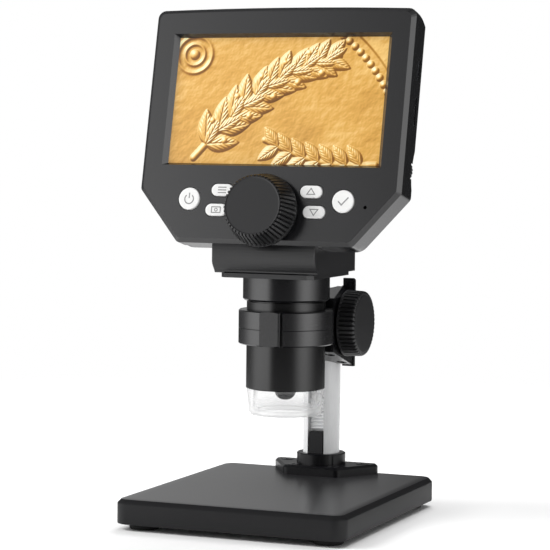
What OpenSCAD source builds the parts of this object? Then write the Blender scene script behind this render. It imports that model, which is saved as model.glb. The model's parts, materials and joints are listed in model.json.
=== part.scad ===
// Digital microscope with a fixed LCD head, a focusing lens barrel and a rack-and-pinion stand.
// Units are millimetres. X is the user's right, Y points to the back, Z is up.
// The origin is on the table, under the centre of the base plate.

/* [Base] */
// Width of the base plate
base_w = 101.5; // [85:0.5:140]
// Depth of the base plate
base_d = 118.4; // [110:0.2:160]
// Thickness of the base plate
base_t = 10.3; // [8:0.1:16]
// Radius of the base plate's upright corners
base_corner_r = 6; // [3:0.5:15]
// Chamfer round the top edge of the base plate
base_chamfer = 1.7; // [0.5:0.1:3]
// Diameter of a rubber foot
foot_d = 12.6; // [8:0.2:18]
// Height of a rubber foot
foot_h = 2.6; // [1.5:0.1:5]
// Distance of a foot's centre from the two nearest sides of the base plate
foot_inset = 10; // [8:0.5:20]

/* [Column] */
// Diameter of the aluminium column
column_d = 16.3; // [15:0.1:20]
// Length of the column
column_l = 82.4; // [75:0.1:95]
// Distance from the column's axis to the back of the base plate
column_setback = 10.2; // [10.2:0.1:20]
// Width of the groove in the front of the column
groove_w = 7.6; // [6.2:0.1:8]
// Depth of the groove, from the column's front
groove_depth = 4.55; // [4:0.05:6]
// Width of the rack strip in the groove
rack_w = 6; // [4:0.1:6]
// Thickness of the rack strip over its teeth
rack_t = 2.2; // [2:0.05:2.4]
// Height of the socket that the column stands in
socket_h = 9.2; // [6:0.1:15]
// Wall of the socket
socket_wall = 2.7; // [1.4:0.1:2.8]
// Thickness of the column foot's flange
flange_t = 4.2; // [2.5:0.1:5]
// Height of the tongue above the socket
tongue_h = 9.8; // [4:0.2:14]
// Width of the tongue
tongue_w = 6.8; // [4:0.1:7.2]

/* [Carriage] */
// Height of the pinion's axis above the table
pinion_z = 81.4; // [74:0.1:82]
// Teeth of the lift pinion
pinion_teeth = 20; // [20:1:22]
// Half width of the carriage block
block_half_w = 14.6; // [13.5:0.1:17]
// Half height of the carriage block at its front
block_front_h = 11.75; // [10:0.05:14]
// Height of the carriage block's back above the pinion's axis
block_back_up = 15.9; // [13:0.1:17]
// Depth of the carriage block's back below the pinion's axis
block_back_down = 19.6; // [16:0.1:20]
// Height of the ring that holds the barrel
ring_h = 14.6; // [12:0.1:19]
// Wall of the ring
ring_wall = 3.4; // [2:0.02:5]
// Outer diameter of a lift knob
lift_knob_d = 29.2; // [22:0.2:32]
// Length of a lift knob
lift_knob_l = 8.2; // [6:0.1:14]
// Ribs round a lift knob
lift_knob_ribs = 44; // [24:1:60]

/* [Barrel] */
// Distance of the barrel's axis behind the base plate's centre
barrel_y = 4.6; // [0:0.1:6]
// Diameter of the lower barrel
barrel_d = 33.8; // [31:0.1:36]
// Diameter of the upper barrel
barrel_top_d = 37.2; // [35:0.1:37.6]
// Wall of the barrel
barrel_wall = 2.5; // [2:0.1:3]
// Height of the lower barrel's bottom edge above the table
barrel_z = 55.3; // [52:0.1:60]
// Height of the joint between the lower and the upper barrel
barrel_joint_z = 92.5; // [92.2:0.1:92.8]
// Height of the clear light cap below the barrel
cap_h = 11.1; // [8:0.1:16]
// Wall of the clear light cap
cap_wall = 1.5; // [1:0.1:2]
// Outer diameter of the moving lens tube
lens_tube_d = 17; // [14:0.2:18]

/* [Head] */
// Tilt of the screen face from upright
tilt = 12.5; // [5:0.5:20]
// Height of the screen's centre above the table
face_z = 178.5; // [176:0.1:182]
// Distance of the screen face in front of the barrel's axis
face_ahead = 15; // [14:0.1:16]
// Half width of the flat face
head_half_w = 57; // [55:0.1:64]
// Height of the face's top corners above the screen's centre
head_top = 37.5; // [36:0.1:42]
// Rise of the top edge from its corners to its middle
head_crown = 0.9; // [0:0.1:2]
// Depth of the lower side corners below the screen's centre
head_side_drop = 38.5; // [37:0.1:42]
// Half width of the face's bottom edge
chin_half_w = 38.7; // [36:0.1:46]
// Depth of the bottom edge below the screen's centre
chin_drop = 60; // [59:0.1:64]
// Chamfer round the front of the head
head_chamfer = 1.75; // [0.8:0.05:2.5]
// Depth of the seam between the front bezel and the rear housing
seam_depth = 8.8; // [8.6:0.1:9]
// Depth of the head at its edges
head_depth = 15.2; // [14.5:0.1:18]
// Wall of the head's shells
shell_wall = 2; // [1.5:0.1:2.5]
// Width of the screen's visible picture
view_w = 95; // [90:0.1:96]
// Height of the screen's visible picture
view_h = 54.8; // [50:0.1:55]
// Depth of the sloped rim round the picture
rim_depth = 2.35; // [1.5:0.05:2.4]

/* [Controls] */
// Diameter of the round buttons
round_button_d = 9.5; // [8:0.1:10.5]
// Length of the pill-shaped buttons
pill_l = 9.8; // [8:0.1:10.5]
// Height of the pill-shaped buttons
pill_h = 5.2; // [4:0.1:6]
// Height of the buttons above the face
button_proud = 0.6; // [0.6:0.1:1.5]
// Travel of the buttons
button_travel = 0.5; // [0.3:0.05:0.5]
// Diameter of the focus knob at its base
focus_knob_d = 31; // [26:0.2:31.2]
// Diameter of the focus knob at its front
focus_knob_front_d = 26; // [22:0.2:26]
// Length of the focus knob
focus_knob_l = 13.6; // [10:0.2:18]
// Ribs round the focus knob
focus_knob_ribs = 48; // [24:1:60]
// Travel of the lens tube each way
focus_travel = 5; // [2:0.5:5]
// Diameter of the lamp dimmer wheel
dimmer_d = 14; // [12:0.2:14]

/* [Hidden] */
$fn = 64;

// Clearances and small standard sizes
run_gap = 0.05;        // radial clearance of a running fit
seat_gap = 0.1;        // clearance round a piece that sits in a pocket
button_gap = 0.4;      // gap round a button in its hole
eps = 0.01;            // overshoot of a cut past a face
tooth_module = 0.5;    // size of all rack and gear teeth
pressure_angle = 20;   // of all teeth
backlash = 0.12;       // side clearance of two teeth in mesh
shaft_r = 2;           // lift pinion shaft
focus_shaft_r = 2;     // focus knob shaft
focus_end_r = 1.5;     // end of that shaft, in the focus pinion
m3_r = 1.5;            // M3 screw
m25_r = 1.25;          // M2.5 screw
m2_r = 1;              // M2 screw
m25_head_r = 2.1;
m2_head_r = 1.8;
m5_r = 2.5;            // M5 bolt
small_chamfer = 0.6;   // broken edges of turned pieces

// Column and rack
base_top = foot_h + base_t;
foot_sunk = 0.3;                          // how deep the column foot is let into the base plate
foot_seat = base_top - foot_sunk;
column_r = column_d / 2;
column_y = base_d / 2 - column_setback;
column_top = foot_seat + column_l;
socket_r = column_r + run_gap + socket_wall;
socket_top = base_top + socket_h;
tongue_top = socket_top + tongue_h;
groove_floor_y = column_y - column_r + groove_depth;
rack_tip_y = groove_floor_y - rack_t;
rack_pitch_y = rack_tip_y + tooth_module;
rack_bottom = tongue_top + 0.2;
rack_top = column_top - 1;

// Carriage
pinion_r = tooth_module * pinion_teeth / 2;
pinion_y = rack_pitch_y - pinion_r;
pinion_w = rack_w - 0.2;
cavity_gap = 0.6;                         // room round the pinion in the carriage
barrel_r = barrel_d / 2;
ring_bore_r = barrel_r + run_gap;
ring_r = ring_bore_r + ring_wall;
block_front_y = barrel_y + barrel_top_d / 2 + 0.5;
block_back_y = column_y + 1.5;
ring_z = pinion_z + 0.4 - ring_h / 2;     // bottom of the ring
wing_t = 2;                               // thickness of the tall back edge of the block
wing_over = 0.4;                          // how far that edge stands out to the side
wing_up = 3.2;                            // how far that edge rises above the block's back
wing_down = 0.5;                          // and how far it hangs below it
wing_corner_r = 1.2;                      // of its upper corners
roof_half_w = 9.8;                        // half width of the block's top at its back
relief_half_w = 9.7;                      // half width of the cut behind the column
cover_r = column_setback;                 // the cover ends level with the back of the base
cover_h = 13;                             // half height of the back cover
cover_flange_t = 2.2;
cover_half_w = block_half_w - 0.3;
knob_in_x = block_half_w + wing_over + 0.4;
knob_out_x = knob_in_x + lift_knob_l;
flat_reach = 0.44;                        // how deep the flat in front of the ring is cut
slit_w = 0.8;                             // slit of the ring
slit_chamfer = 0.5;                       // of the slit's outer edges
parting_groove = 0.15;                    // depth of the groove where the two halves of the ring meet
slit_angle = 15.8;                        // direction of the slit, right of straight ahead

// Head: its frame has its origin on the face, at the screen's centre, with X right, Y back, Z up the face
face_y = barrel_y - face_ahead;
outer_half_w = head_half_w + head_chamfer;
bevel_depth = 11;                         // the top bevel at the back of the head, along the depth
bevel_drop = 5.8;                         // and down the back
rim_reach = [1.9, 1.25];                  // how far the sloped rim reaches beyond the picture
hump_back_y = barrel_y + 22.7;            // back of the hump and of the neck
hump_half_w = 23.3;
hump_shoulder_z = 128;                    // top of the upright back of the hump
hump_top_v = -5;                          // where the hump runs into the back of the head
hump_root = 3;                            // how deep the hump starts in the head
neck_bottom_z = 105.4;
neck_plate_t = 1.9;
neck_plate_half_w = 20.9;
neck_plate_y = [barrel_y - 24.1, barrel_y + 22.5];
neck_plate_cut = 2.4;                     // its cut corners
neck_front_lean = 2.5;                    // how far the neck's front runs back on its way down
neck_bulge = [2.9, 6];                    // how far its curve leans out, ahead and down
neck_wall = 2.2;
neck_corner_r = 1.6;
neck_foot_r = 1.1;                        // rounding of the neck's front at its bottom
focus_v = -48.1;                          // focus knob below the screen's centre
focus_pinion_teeth = 12;
focus_pinion_r = tooth_module * focus_pinion_teeth / 2;
focus_pinion_depth = [24, 28];            // place of the focus pinion along its shaft
bracket_depth = [19, 21.5];               // the plate that carries the shaft
button_flange = 0.9;                      // flange of a button behind its hole
button_back_t = [0.1, 0.9];               // front and back of that flange, behind the rim's depth
switch_gap = 0.15;                        // left between a pressed button and its switch
lcd_frame_w = 103;
lcd_frame_h = 64;
lcd_glass_t = 1.1;
lcd_t = 2.95;
switch_t = 1.5;
board_t = 1.6;
button_board_front = rim_depth + button_back_t[1] + button_travel + switch_gap + switch_t;
button_board_depth = [button_board_front, button_board_front + board_t];
main_board_depth = [seam_depth - 1.4, seam_depth - 0.1];
port_depth = seam_depth + 0.1;            // front of the two ports
boss_r = 2.3;
bosses = [[head_half_w - 2.7, head_top - 7.5], [head_half_w - 3.6, 2.7 - head_side_drop],
    [chin_half_w - 5.7, 3.8 - chin_drop]];
port_v = 15;                              // USB port up the right side
port_half_w = 4;
port_t = 2.7;                             // its thickness
slot_v = -3;                              // card slot
slot_half_w = 5.8;
slot_t = 1.9;                             // its thickness
dimmer_v = -27;                           // dimmer wheel
scoop_cut = 1;                            // depth of the thumb scoop at the dimmer wheel
scoop_r = 34;
dimmer_x = outer_half_w - 0.5 - dimmer_d / 2;
dimmer_depth = [12.4, 14.8];
power_at = [-34.8, -43.3];
ok_at = [34.4, -43.1];
upper_pill_at = [20, -39.3];
lower_pill_at = [22, -47.8];
mic_at = [44.1, -45.3];
mic_hole_r = 0.75;

// Barrel and optics
spigot_wall = 1.25;
joint_groove = 0.6;
barrel_bore_r = barrel_r - barrel_wall;
spigot_r = barrel_bore_r + spigot_wall;
spigot_h = 6.5;
plate_bottom_z = neck_bottom_z - neck_plate_t;
cap_seat_r = barrel_r - 1.7;
cap_seat_h = 3.2;
led_board_t = 1.2;
lens_tube_r = lens_tube_d / 2;
nose_z = barrel_z - 5.2;                  // bottom of the lens tube's nose
nose_r = 4.6;
lens_tube_z = [nose_z + 9, nose_z + 33];  // straight part of the lens tube
guide_z = [nose_z + 11, nose_z + 21];
arm_x = [lens_tube_r + 1.1, lens_tube_r + 3.1];
arm_w = 4;
link_z = [112, 115];
sensor_board_z = 96;

// ---------- helpers ----------

function unit(v) = v / norm(v);

// Points of a rounded corner at p, between its neighbours a and b
function corner(p, a, b, r, n) = r == 0 ? [p] :
    let (u = unit(a - p), w = unit(b - p), half = acos(u * w) / 2,
        c = p + unit(u + w) * r / sin(half),
        s = p + u * r / tan(half) - c, e = p + w * r / tan(half) - c,
        from = atan2(s.y, s.x), d = atan2(e.y, e.x) - from,
        turn = d > 180 ? d - 360 : d < -180 ? d + 360 : d)
    [for (i = [0:n]) c + r * [cos(from + turn * i / n), sin(from + turn * i / n)]];

function rounded(pts, radii, n = 5) = let (k = len(pts))
    [for (i = [0:k - 1]) each corner(pts[i], pts[(i + k - 1) % k], pts[(i + 1) % k], radii[i], n)];

// Outline of the head, grown by g; low_r rounds its two bottom corners
function head_outline(g, low_r = 2.5) =
    let (run = head_half_w - chin_half_w, fall = chin_drop - head_side_drop, l = norm([run, fall]),
        w = head_half_w + g, top = head_top + g,
        side = head_side_drop + g * (1 - fall / l) / (run / l),
        chin = chin_half_w + g * (1 - run / l) / (fall / l), steps = 8)
    rounded(concat([[-w, top]],
        [for (i = [1:steps - 1]) let (x = -w + 2 * w * i / steps) [x, top + head_crown * (1 - (x / w) ^ 2)]],
        [[w, top], [w, -side], [chin, -chin_drop - g], [-chin, -chin_drop - g], [-w, -side]]),
        concat([2.6 + g / 2], [for (i = [1:steps - 1]) 0], [2.6 + g / 2, 2.5, low_r, low_r, 2.5]));

// A profile in Y and Z, spread over w in X
module across(w) translate([-w / 2, 0, 0]) rotate([90, 0, 90]) linear_extrude(w) children();

// A profile in X and Z, spread over depths d[0] to d[1] in Y
module slab(d) translate([0, d[1], 0]) rotate([90, 0, 0]) linear_extrude(d[1] - d[0]) children();

// A cylinder along Y, from d[0] to d[1], at p = [x, z]
module rod(d, r, p = [0, 0]) translate([p.x, d[0], p.y]) rotate([-90, 0, 0]) cylinder(h = d[1] - d[0], r = r);

// A box between two corners
module block(a, b) translate(a) cube(b - a);

// A turned piece about Z, from radius and height pairs
module turned(pts) rotate_extrude($fn = 96) polygon(pts);

module in_head() translate([0, face_y, face_z]) rotate([-tilt, 0, 0]) children();

module at_barrel(z = 0) translate([0, barrel_y, z]) children();

module mirrored() { children(); mirror([1, 0, 0]) children(); }

function slab_section(w, h, c) =
    [[-w / 2, 0], [w / 2, 0], [w / 2, h - c], [w / 2 - c, h], [c - w / 2, h], [-w / 2, h - c]];

// A slab on the XY plane with rounded upright corners and a chamfered top edge
module chamfered_slab(w, d, h, r, c) {
    x = w / 2 - r;
    y = d / 2 - r;
    across(2 * x) polygon(slab_section(d, h, c));
    rotate([0, 0, 90]) across(2 * y) polygon(slab_section(w, h, c));
    for (sx = [-1, 1], sy = [-1, 1]) translate([sx * x, sy * y, 0])
        turned([[0, 0], [r, 0], [r, h - c], [r - c, h], [0, h]]);
}

// A flat-headed screw that points down from z = 0, with a cross recess
module screw(r, l, head_r, head_h) difference() {
    union() {
        translate([0, 0, -l]) cylinder(h = l, r = r);
        cylinder(h = head_h, r = head_r);
    }
    for (a = [0, 90]) rotate([0, 0, a]) translate([-head_r * 0.6, -head_r * 0.12, head_h / 2])
        cube([head_r * 1.2, head_r * 0.24, head_h]);
}

// ---------- teeth ----------

// Half angle of a pinion tooth at radius r, in degrees
function tooth_half(r, teeth) =
    let (rp = tooth_module * teeth / 2, rb = rp * cos(pressure_angle), q = max(r, rb) / rb,
        roll = sqrt(q * q - 1), at_r = roll * 180 / PI - atan(roll),
        at_rp = tan(pressure_angle) * 180 / PI - pressure_angle)
    (tooth_module * PI / 2 - backlash / 2) / 2 / rp * 180 / PI + at_rp - at_r;

// A spur pinion about Z with one tooth towards +X
module spur(teeth, w, bore_r) {
    rp = tooth_module * teeth / 2;
    root = rp - 1.25 * tooth_module;
    tip = rp + 0.95 * tooth_module;
    radii = [root, (root + rp) / 2, rp, (rp + tip) / 2, tip];
    difference() {
        linear_extrude(w, center = true)
            polygon([for (t = [0:teeth - 1]) let (a = t * 360 / teeth) each concat(
                [for (r = radii) r * [cos(a - tooth_half(r, teeth)), sin(a - tooth_half(r, teeth))]],
                [for (i = [len(radii) - 1:-1:0]) let (r = radii[i])
                    r * [cos(a + tooth_half(r, teeth)), sin(a + tooth_half(r, teeth))]])]);
        cylinder(h = 2 * w, r = bore_r, center = true);
    }
}

// Profile of a rack along +Y with its teeth towards -X. The pitch line is x = 0, a gap is centred
// at y = 0, the teeth run from gap number i0 to gap number i1, and the back is at x = back.
module rack_profile(i0, i1, back) {
    p = PI * tooth_module;
    slope = tan(pressure_angle);
    half = (p / 2 - backlash / 2) / 2;
    tip = 0.95 * tooth_module;
    root = 1.3 * tooth_module;
    polygon(concat([[back, i0 * p], [root, i0 * p]],
        [for (i = [i0:i1 - 1]) let (c = (i + 0.5) * p) each
            [[root, c - half - root * slope], [-tip, c - half + tip * slope],
            [-tip, c + half - tip * slope], [root, c + half + root * slope]]],
        [[root, i1 * p], [back, i1 * p]]));
}

// ---------- stand ----------

module base_plate() color([0.13, 0.13, 0.14]) difference() {
    translate([0, 0, foot_h]) chamfered_slab(base_w, base_d, base_t, base_corner_r, base_chamfer);
    translate([0, column_y, 0]) {
        cylinder(h = 100, r = m5_r + 0.2);
        translate([0, 0, foot_h - 1]) cylinder(h = bolt_sunk + bolt_head_h + 1, r = bolt_head_r + 0.6);
    }
    translate([0, 0, foot_seat]) linear_extrude(10) polygon(flange_outline(seat_gap));
    for (p = flange_screws) translate([p.x, p.y, base_top + flange_t - 1 - foot_screw_l])
        cylinder(h = foot_screw_l, r = m3_r + run_gap);
}

bolt_head_r = 4.25;
bolt_head_h = 3;
bolt_sunk = 1;             // how far the bolt's head sits inside the base plate
socket_chamfer = 0.4;
foot_screw_l = 8;
flange_front_y = column_y - 13.6;
flange_back_y = base_d / 2 - 0.6;
flange_front_half_w = 14;
flange_back_half_w = 24.5;
flange_r = 3;              // of its corners
flange_chamfer = 1;
flange_screws = [for (sx = [-1, 1]) each [[sx * 9.5, column_y - 9.6], [sx * 18, column_y + 4.6]]];

module base_feet() color([0.06, 0.06, 0.06])
    for (sx = [-1, 1], sy = [-1, 1])
        translate([sx * (base_w / 2 - foot_inset), sy * (base_d / 2 - foot_inset), 0])
            turned([[0, 0], [foot_d / 2 - small_chamfer, 0], [foot_d / 2, small_chamfer],
                [foot_d / 2, foot_h], [0, foot_h]]);

module flange_post(p) translate([p.x, p.y, foot_seat]) {
    h = foot_sunk + flange_t - flange_chamfer;
    top_r = flange_r - flange_chamfer;
    cylinder(h = h, r = flange_r, $fn = 32);
    translate([0, 0, h]) cylinder(h = flange_chamfer, r1 = flange_r, r2 = top_r, $fn = 32);
}

// Outline of the flange, grown by g, for the pocket that it sits in
function flange_outline(g) =
    let (w = flange_back_half_w - flange_front_half_w, h = flange_back_y - flange_front_y - 2 * flange_r,
        l = norm([w, h]), r = flange_r + g, x = flange_front_half_w - flange_r + r * (l - w) / h,
        x2 = flange_back_half_w - flange_r + r * (l + w) / h, y = flange_front_y - g, y2 = flange_back_y + g)
    rounded([[-x, y], [x, y], [x2, y2], [-x2, y2]], [r, r, r, r], 8);

module column_foot() color([0.06, 0.06, 0.065]) {
    rim_z = socket_h - socket_chamfer;
    difference() {
        union() {
            hull() mirrored() {
                flange_post([flange_front_half_w - flange_r, flange_front_y + flange_r]);
                flange_post([flange_back_half_w - flange_r, flange_back_y - flange_r]);
            }
            intersection() {
                translate([0, column_y, base_top]) turned([[0, 0], [socket_r, 0], [socket_r, rim_z],
                    [socket_r - socket_chamfer, socket_h], [0, socket_h]]);
                block([-50, 0, 0], [50, flange_back_y, 100]);
            }
        }
        translate([0, column_y, foot_seat - eps]) cylinder(h = 100, r = column_r + run_gap);
        for (p = flange_screws) translate([p.x, p.y, foot_seat - eps]) {
            cylinder(h = 20, r = m3_r + 0.15);
            translate([0, 0, flange_t - 1]) cylinder(h = 20, r = 2.9);
        }
    }
    tongue();
}

// The tongue stands in the column's groove; its root runs out to the socket's wall
module tongue() {
    half = tongue_w / 2;
    back = groove_floor_y - seat_gap;
    front = column_y - column_r + 0.7;
    root = column_y - socket_r + 0.5;
    lean = 0.6;
    intersection() {
        across(tongue_w) polygon([[root, foot_seat], [back, foot_seat], [back, tongue_top],
            [front + lean, tongue_top], [front, socket_top], [root, socket_top - 1]]);
        slab([root, back]) polygon([[-half, foot_seat], [half, foot_seat], [half, socket_top],
            [half - 0.3, tongue_top - 0.4], [half - 0.6, tongue_top], [0.6 - half, tongue_top],
            [0.3 - half, tongue_top - 0.4], [-half, socket_top]]);
    }
}

module foot_screws() color([0.2, 0.2, 0.2]) for (p = flange_screws)
    translate([p.x, p.y, base_top + flange_t - 1]) screw(m3_r, foot_screw_l - 1, 2.75, 1.2);

module column() color([0.8, 0.81, 0.82]) difference() {
    translate([0, column_y, foot_seat]) turned([[0, 0], [column_r, 0], [column_r, column_l - small_chamfer],
        [column_r - small_chamfer, column_l], [0, column_l]]);
    block([-groove_w / 2, column_y - column_r - 5, 0], [groove_w / 2, groove_floor_y, 200]);
    translate([0, column_y, foot_seat - eps]) cylinder(h = 16, r = m5_r + run_gap);
    for (z = rack_screw_z) translate([0, column_y, z])
        rod([groove_floor_y - column_y - eps, groove_floor_y - column_y + 5], 1 + run_gap);
}

module column_bolt() color([0.5, 0.5, 0.52]) translate([0, column_y, foot_h + bolt_sunk + bolt_head_h]) {
    cylinder(h = base_t + 8, r = m5_r);
    mirror([0, 0, 1]) difference() {
        cylinder(h = bolt_head_h, r = bolt_head_r);
        translate([0, 0, bolt_head_h - 2]) cylinder(h = 3, r = 2.3, $fn = 6);
    }
}

rack_end = floor((rack_top - pinion_z) / (PI * tooth_module));
rack_start = ceil((rack_bottom - pinion_z) / (PI * tooth_module));
rack_screw_z = [for (i = [5, 9]) pinion_z + PI * tooth_module * (rack_start + i)];

module rack() color([0.62, 0.63, 0.65]) difference() {
    translate([0, rack_pitch_y, pinion_z]) across(rack_w)
        rack_profile(rack_start, rack_end, rack_t - tooth_module);
    for (z = rack_screw_z) translate([0, 0, z]) {
        rod([0, groove_floor_y + 1], 1 + seat_gap);
        rod([0, groove_floor_y - 1.2], 1.9 + seat_gap);
    }
}

module rack_screws() color([0.5, 0.5, 0.52]) for (z = rack_screw_z)
    translate([0, groove_floor_y - 1.2, z]) rotate([90, 0, 0]) screw(1, 5, 1.9, 0.6);

// ---------- carriage ----------

vertical_screws = [for (sx = [-1, 1]) each [[sx * (block_half_w - 3.8), block_front_y + 6],
    [sx * (block_half_w - 3.3), column_y - 5.6]]];
screw_seat = 9.5;          // how far below the parting plane the screw heads sit
screw_reach = 9;           // how far above it the screws end
cover_screw_x = block_half_w - 2.3;
cover_screw_z = 8;

wing_y = block_back_y - wing_t;

// Side profile of the carriage block
function block_profile() = let (low = pinion_z - block_back_down, high = pinion_z + block_back_up)
    [[block_front_y, pinion_z - block_front_h], [wing_y, low], [block_back_y, low],
    [block_back_y, high], [wing_y, high], [block_front_y, pinion_z + block_front_h]];

// Front profile of the block; its upper edges are cut off towards the back
function roof_profile() = let (eave = pinion_z + block_front_h, top = pinion_z + block_back_up)
    [[-block_half_w, 0], [block_half_w, 0], [block_half_w, eave], [roof_half_w, top], [-roof_half_w, top],
    [-block_half_w, eave]];

module carriage_solid() difference() {
    union() {
        intersection() {
            across(2 * block_half_w) polygon(block_profile());
            slab([block_front_y, block_back_y]) polygon(roof_profile());
        }
        slab([wing_y, block_back_y]) polygon(rounded([
            [-block_half_w - wing_over, pinion_z - block_back_down - wing_down],
            [block_half_w + wing_over, pinion_z - block_back_down - wing_down],
            [block_half_w + wing_over, pinion_z + block_back_up + wing_up],
            [-block_half_w - wing_over, pinion_z + block_back_up + wing_up]],
            [0, 0, wing_corner_r, wing_corner_r]));
        block([-block_half_w, barrel_y + ring_r / 2, ring_z],
            [block_half_w, block_front_y + 1, ring_z + ring_h]);
        at_barrel(ring_z) turned([[0, 0], [ring_r - 0.4, 0], [ring_r, 0.4], [ring_r, ring_h - 0.4],
            [ring_r - 0.4, ring_h], [0, ring_h]]);
    }
    at_barrel() cylinder(h = 300, r = ring_bore_r);
    translate([0, column_y, 0]) cylinder(h = 300, r = column_r + run_gap);
    block([-relief_half_w, column_y - 2.5, 0], [relief_half_w, column_y + 20, 300]);
    // the pinion's room and the bore of its shaft
    translate([0, pinion_y, pinion_z]) rotate([0, 90, 0]) {
        cylinder(h = pinion_w + 2 * cavity_gap, r = pinion_r + tooth_module + cavity_gap, center = true);
        cylinder(h = 100, r = shaft_r + run_gap, center = true);
    }
    // the flat and the slit in front of the ring
    block([-20, barrel_y - ring_r - 10, 0], [20, barrel_y - ring_r + flat_reach, 300]);
    at_barrel() rotate([0, 0, slit_angle]) linear_extrude(300) {
        h = slit_w / 2;
        d = slit_chamfer;
        polygon([[-h - d - 5, -ring_r - 5], [h + d + 5, -ring_r - 5], [h, d - ring_r], [h, 0], [-h, 0],
            [-h, d - ring_r]]);
    }
    // the groove between the ring's halves ends where the ring runs into the block
    intersection() {
        at_barrel(pinion_z) turned([[ring_r - parting_groove, 0], [ring_r + 1, parting_groove + 1],
            [ring_r + 1, -parting_groove - 1]]);
        block([-60, -60, 0], [60, barrel_y + sqrt(ring_r ^ 2 - block_half_w ^ 2), 300]);
    }
    for (p = vertical_screws) translate([p.x, p.y, 0]) {
        cylinder(h = pinion_z - screw_seat, r = m25_head_r + 0.2);
        cylinder(h = pinion_z + screw_reach + 0.5, r = m25_r + run_gap);
    }
    mirrored() for (s = [-1, 1]) rod([block_back_y - 3, block_back_y + 5], m2_r + run_gap,
        [cover_screw_x, pinion_z + s * cover_screw_z]);
}

module carriage_upper() color([0.07, 0.07, 0.075]) intersection() {
    carriage_solid();
    block([-60, -60, pinion_z], [60, 90, pinion_z + 60]);
}

module carriage_lower() color([0.07, 0.07, 0.075]) intersection() {
    carriage_solid();
    block([-60, -60, pinion_z - 60], [60, 90, pinion_z]);
}

module carriage_screws() color([0.5, 0.5, 0.52]) for (p = vertical_screws)
    translate([p.x, p.y, pinion_z - screw_seat]) rotate([180, 0, 0])
        screw(m25_r, screw_seat + screw_reach, m25_head_r, 1.5);

module carriage_cover() color([0.07, 0.07, 0.075]) difference() {
    intersection() {
        union() {
            translate([0, column_y, pinion_z - cover_h]) cylinder(h = 2 * cover_h, r = cover_r);
            block([-cover_half_w, block_back_y, pinion_z - cover_h],
                [cover_half_w, block_back_y + cover_flange_t, pinion_z + cover_h]);
        }
        block([-60, block_back_y, 0], [60, block_back_y + 40, 300]);
    }
    translate([0, column_y, 0]) cylinder(h = 300, r = column_r + run_gap);
    mirrored() for (s = [-1, 1])
        rod([block_back_y - 1, block_back_y + 5], m2_r + 0.15,
            [cover_screw_x, pinion_z + s * cover_screw_z]);
}

module cover_screws() color([0.3, 0.3, 0.3]) mirrored() for (s = [-1, 1])
    translate([cover_screw_x, block_back_y + cover_flange_t, pinion_z + s * cover_screw_z])
        rotate([-90, 0, 0]) screw(m2_r, cover_flange_t + 2.8, m2_head_r, 1.2);

module pinion_shaft() color([0.7, 0.7, 0.72]) translate([0, pinion_y, pinion_z]) rotate([0, 90, 0])
    cylinder(h = 2 * (knob_out_x - 2), r = shaft_r, center = true);

module pinion() color([0.72, 0.6, 0.3]) translate([0, pinion_y, pinion_z])
    rotate([0, 0, 90]) rotate([90, 0, 0]) spur(pinion_teeth, pinion_w, shaft_r + run_gap / 2);

// A knob about Z, from its back at z = 0, with a collar from z[0] to z[1]; the ribs in front of the
// collar stand between grooves, and the front's edge is rounded off over e
module ribbed_knob(r0, r1, l, z, e, ribs, groove_r, bore_r, bore_l) difference() {
    turned([[0, 0], [r0 - z[0], 0], [r0, z[0]], [r0, z[1]], [r1, l - e], [r1 - e, l], [0, l]]);
    for (i = [0:ribs - 1]) rotate([0, 0, i * 360 / ribs]) translate([r0, 0, z[1]])
        rotate([0, -atan((r0 - r1) / (l - e - z[1])), 0]) translate([groove_r * 0.35, 0, 0])
            cylinder(h = l * 1.2, r = groove_r, $fn = 16);
    translate([0, 0, -eps]) cylinder(h = bore_l, r = bore_r);
}

module lift_knob_right() color([0.05, 0.05, 0.05]) translate([knob_in_x, pinion_y, pinion_z])
    rotate([0, 90, 0]) ribbed_knob(lift_knob_d / 2, lift_knob_d / 2 - 0.3, lift_knob_l, [0.3, 0.8], 1.3,
        lift_knob_ribs, 0.62, shaft_r + run_gap / 2, lift_knob_l - 1.8);

module lift_knob_left() mirror([1, 0, 0]) lift_knob_right();

// ---------- head shells ----------

// Everything above the bevel at the top of the head, to cut away; g moves it outward
module top_bevel(g) translate([0, head_depth - bevel_depth, head_top + head_crown + head_chamfer - 0.5])
    rotate([-atan(bevel_drop / bevel_depth), 0, 0]) block([-100, -60, g], [100, 60, 80]);

// The head's outline from depth d[0] to d[1], tapered from growth g0 to g1
module tapered_slab(d, g0, g1, low_r = 2.5) hull() {
    slab([d[0], d[0] + eps]) polygon(head_outline(g0, low_r));
    slab([d[1] - eps, d[1]]) polygon(head_outline(g1, low_r));
}

module pill(l, h) {
    square([l - h, h], center = true);
    for (s = [-1, 1]) translate([s * (l - h) / 2, 0]) circle(d = h);
}

// Outline of one button, grown by g; kind 0 is round and kind 1 is a pill
module button_outline(kind, g) {
    if (kind == 0) circle(d = round_button_d + 2 * g);
    else pill(pill_l + 2 * g, pill_h + 2 * g);
}

function flip(p) = [-p.x, p.y];
buttons = [[0, power_at], [0, ok_at], [1, flip(upper_pill_at)], [1, flip(lower_pill_at)],
    [1, upper_pill_at], [1, lower_pill_at]];

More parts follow.
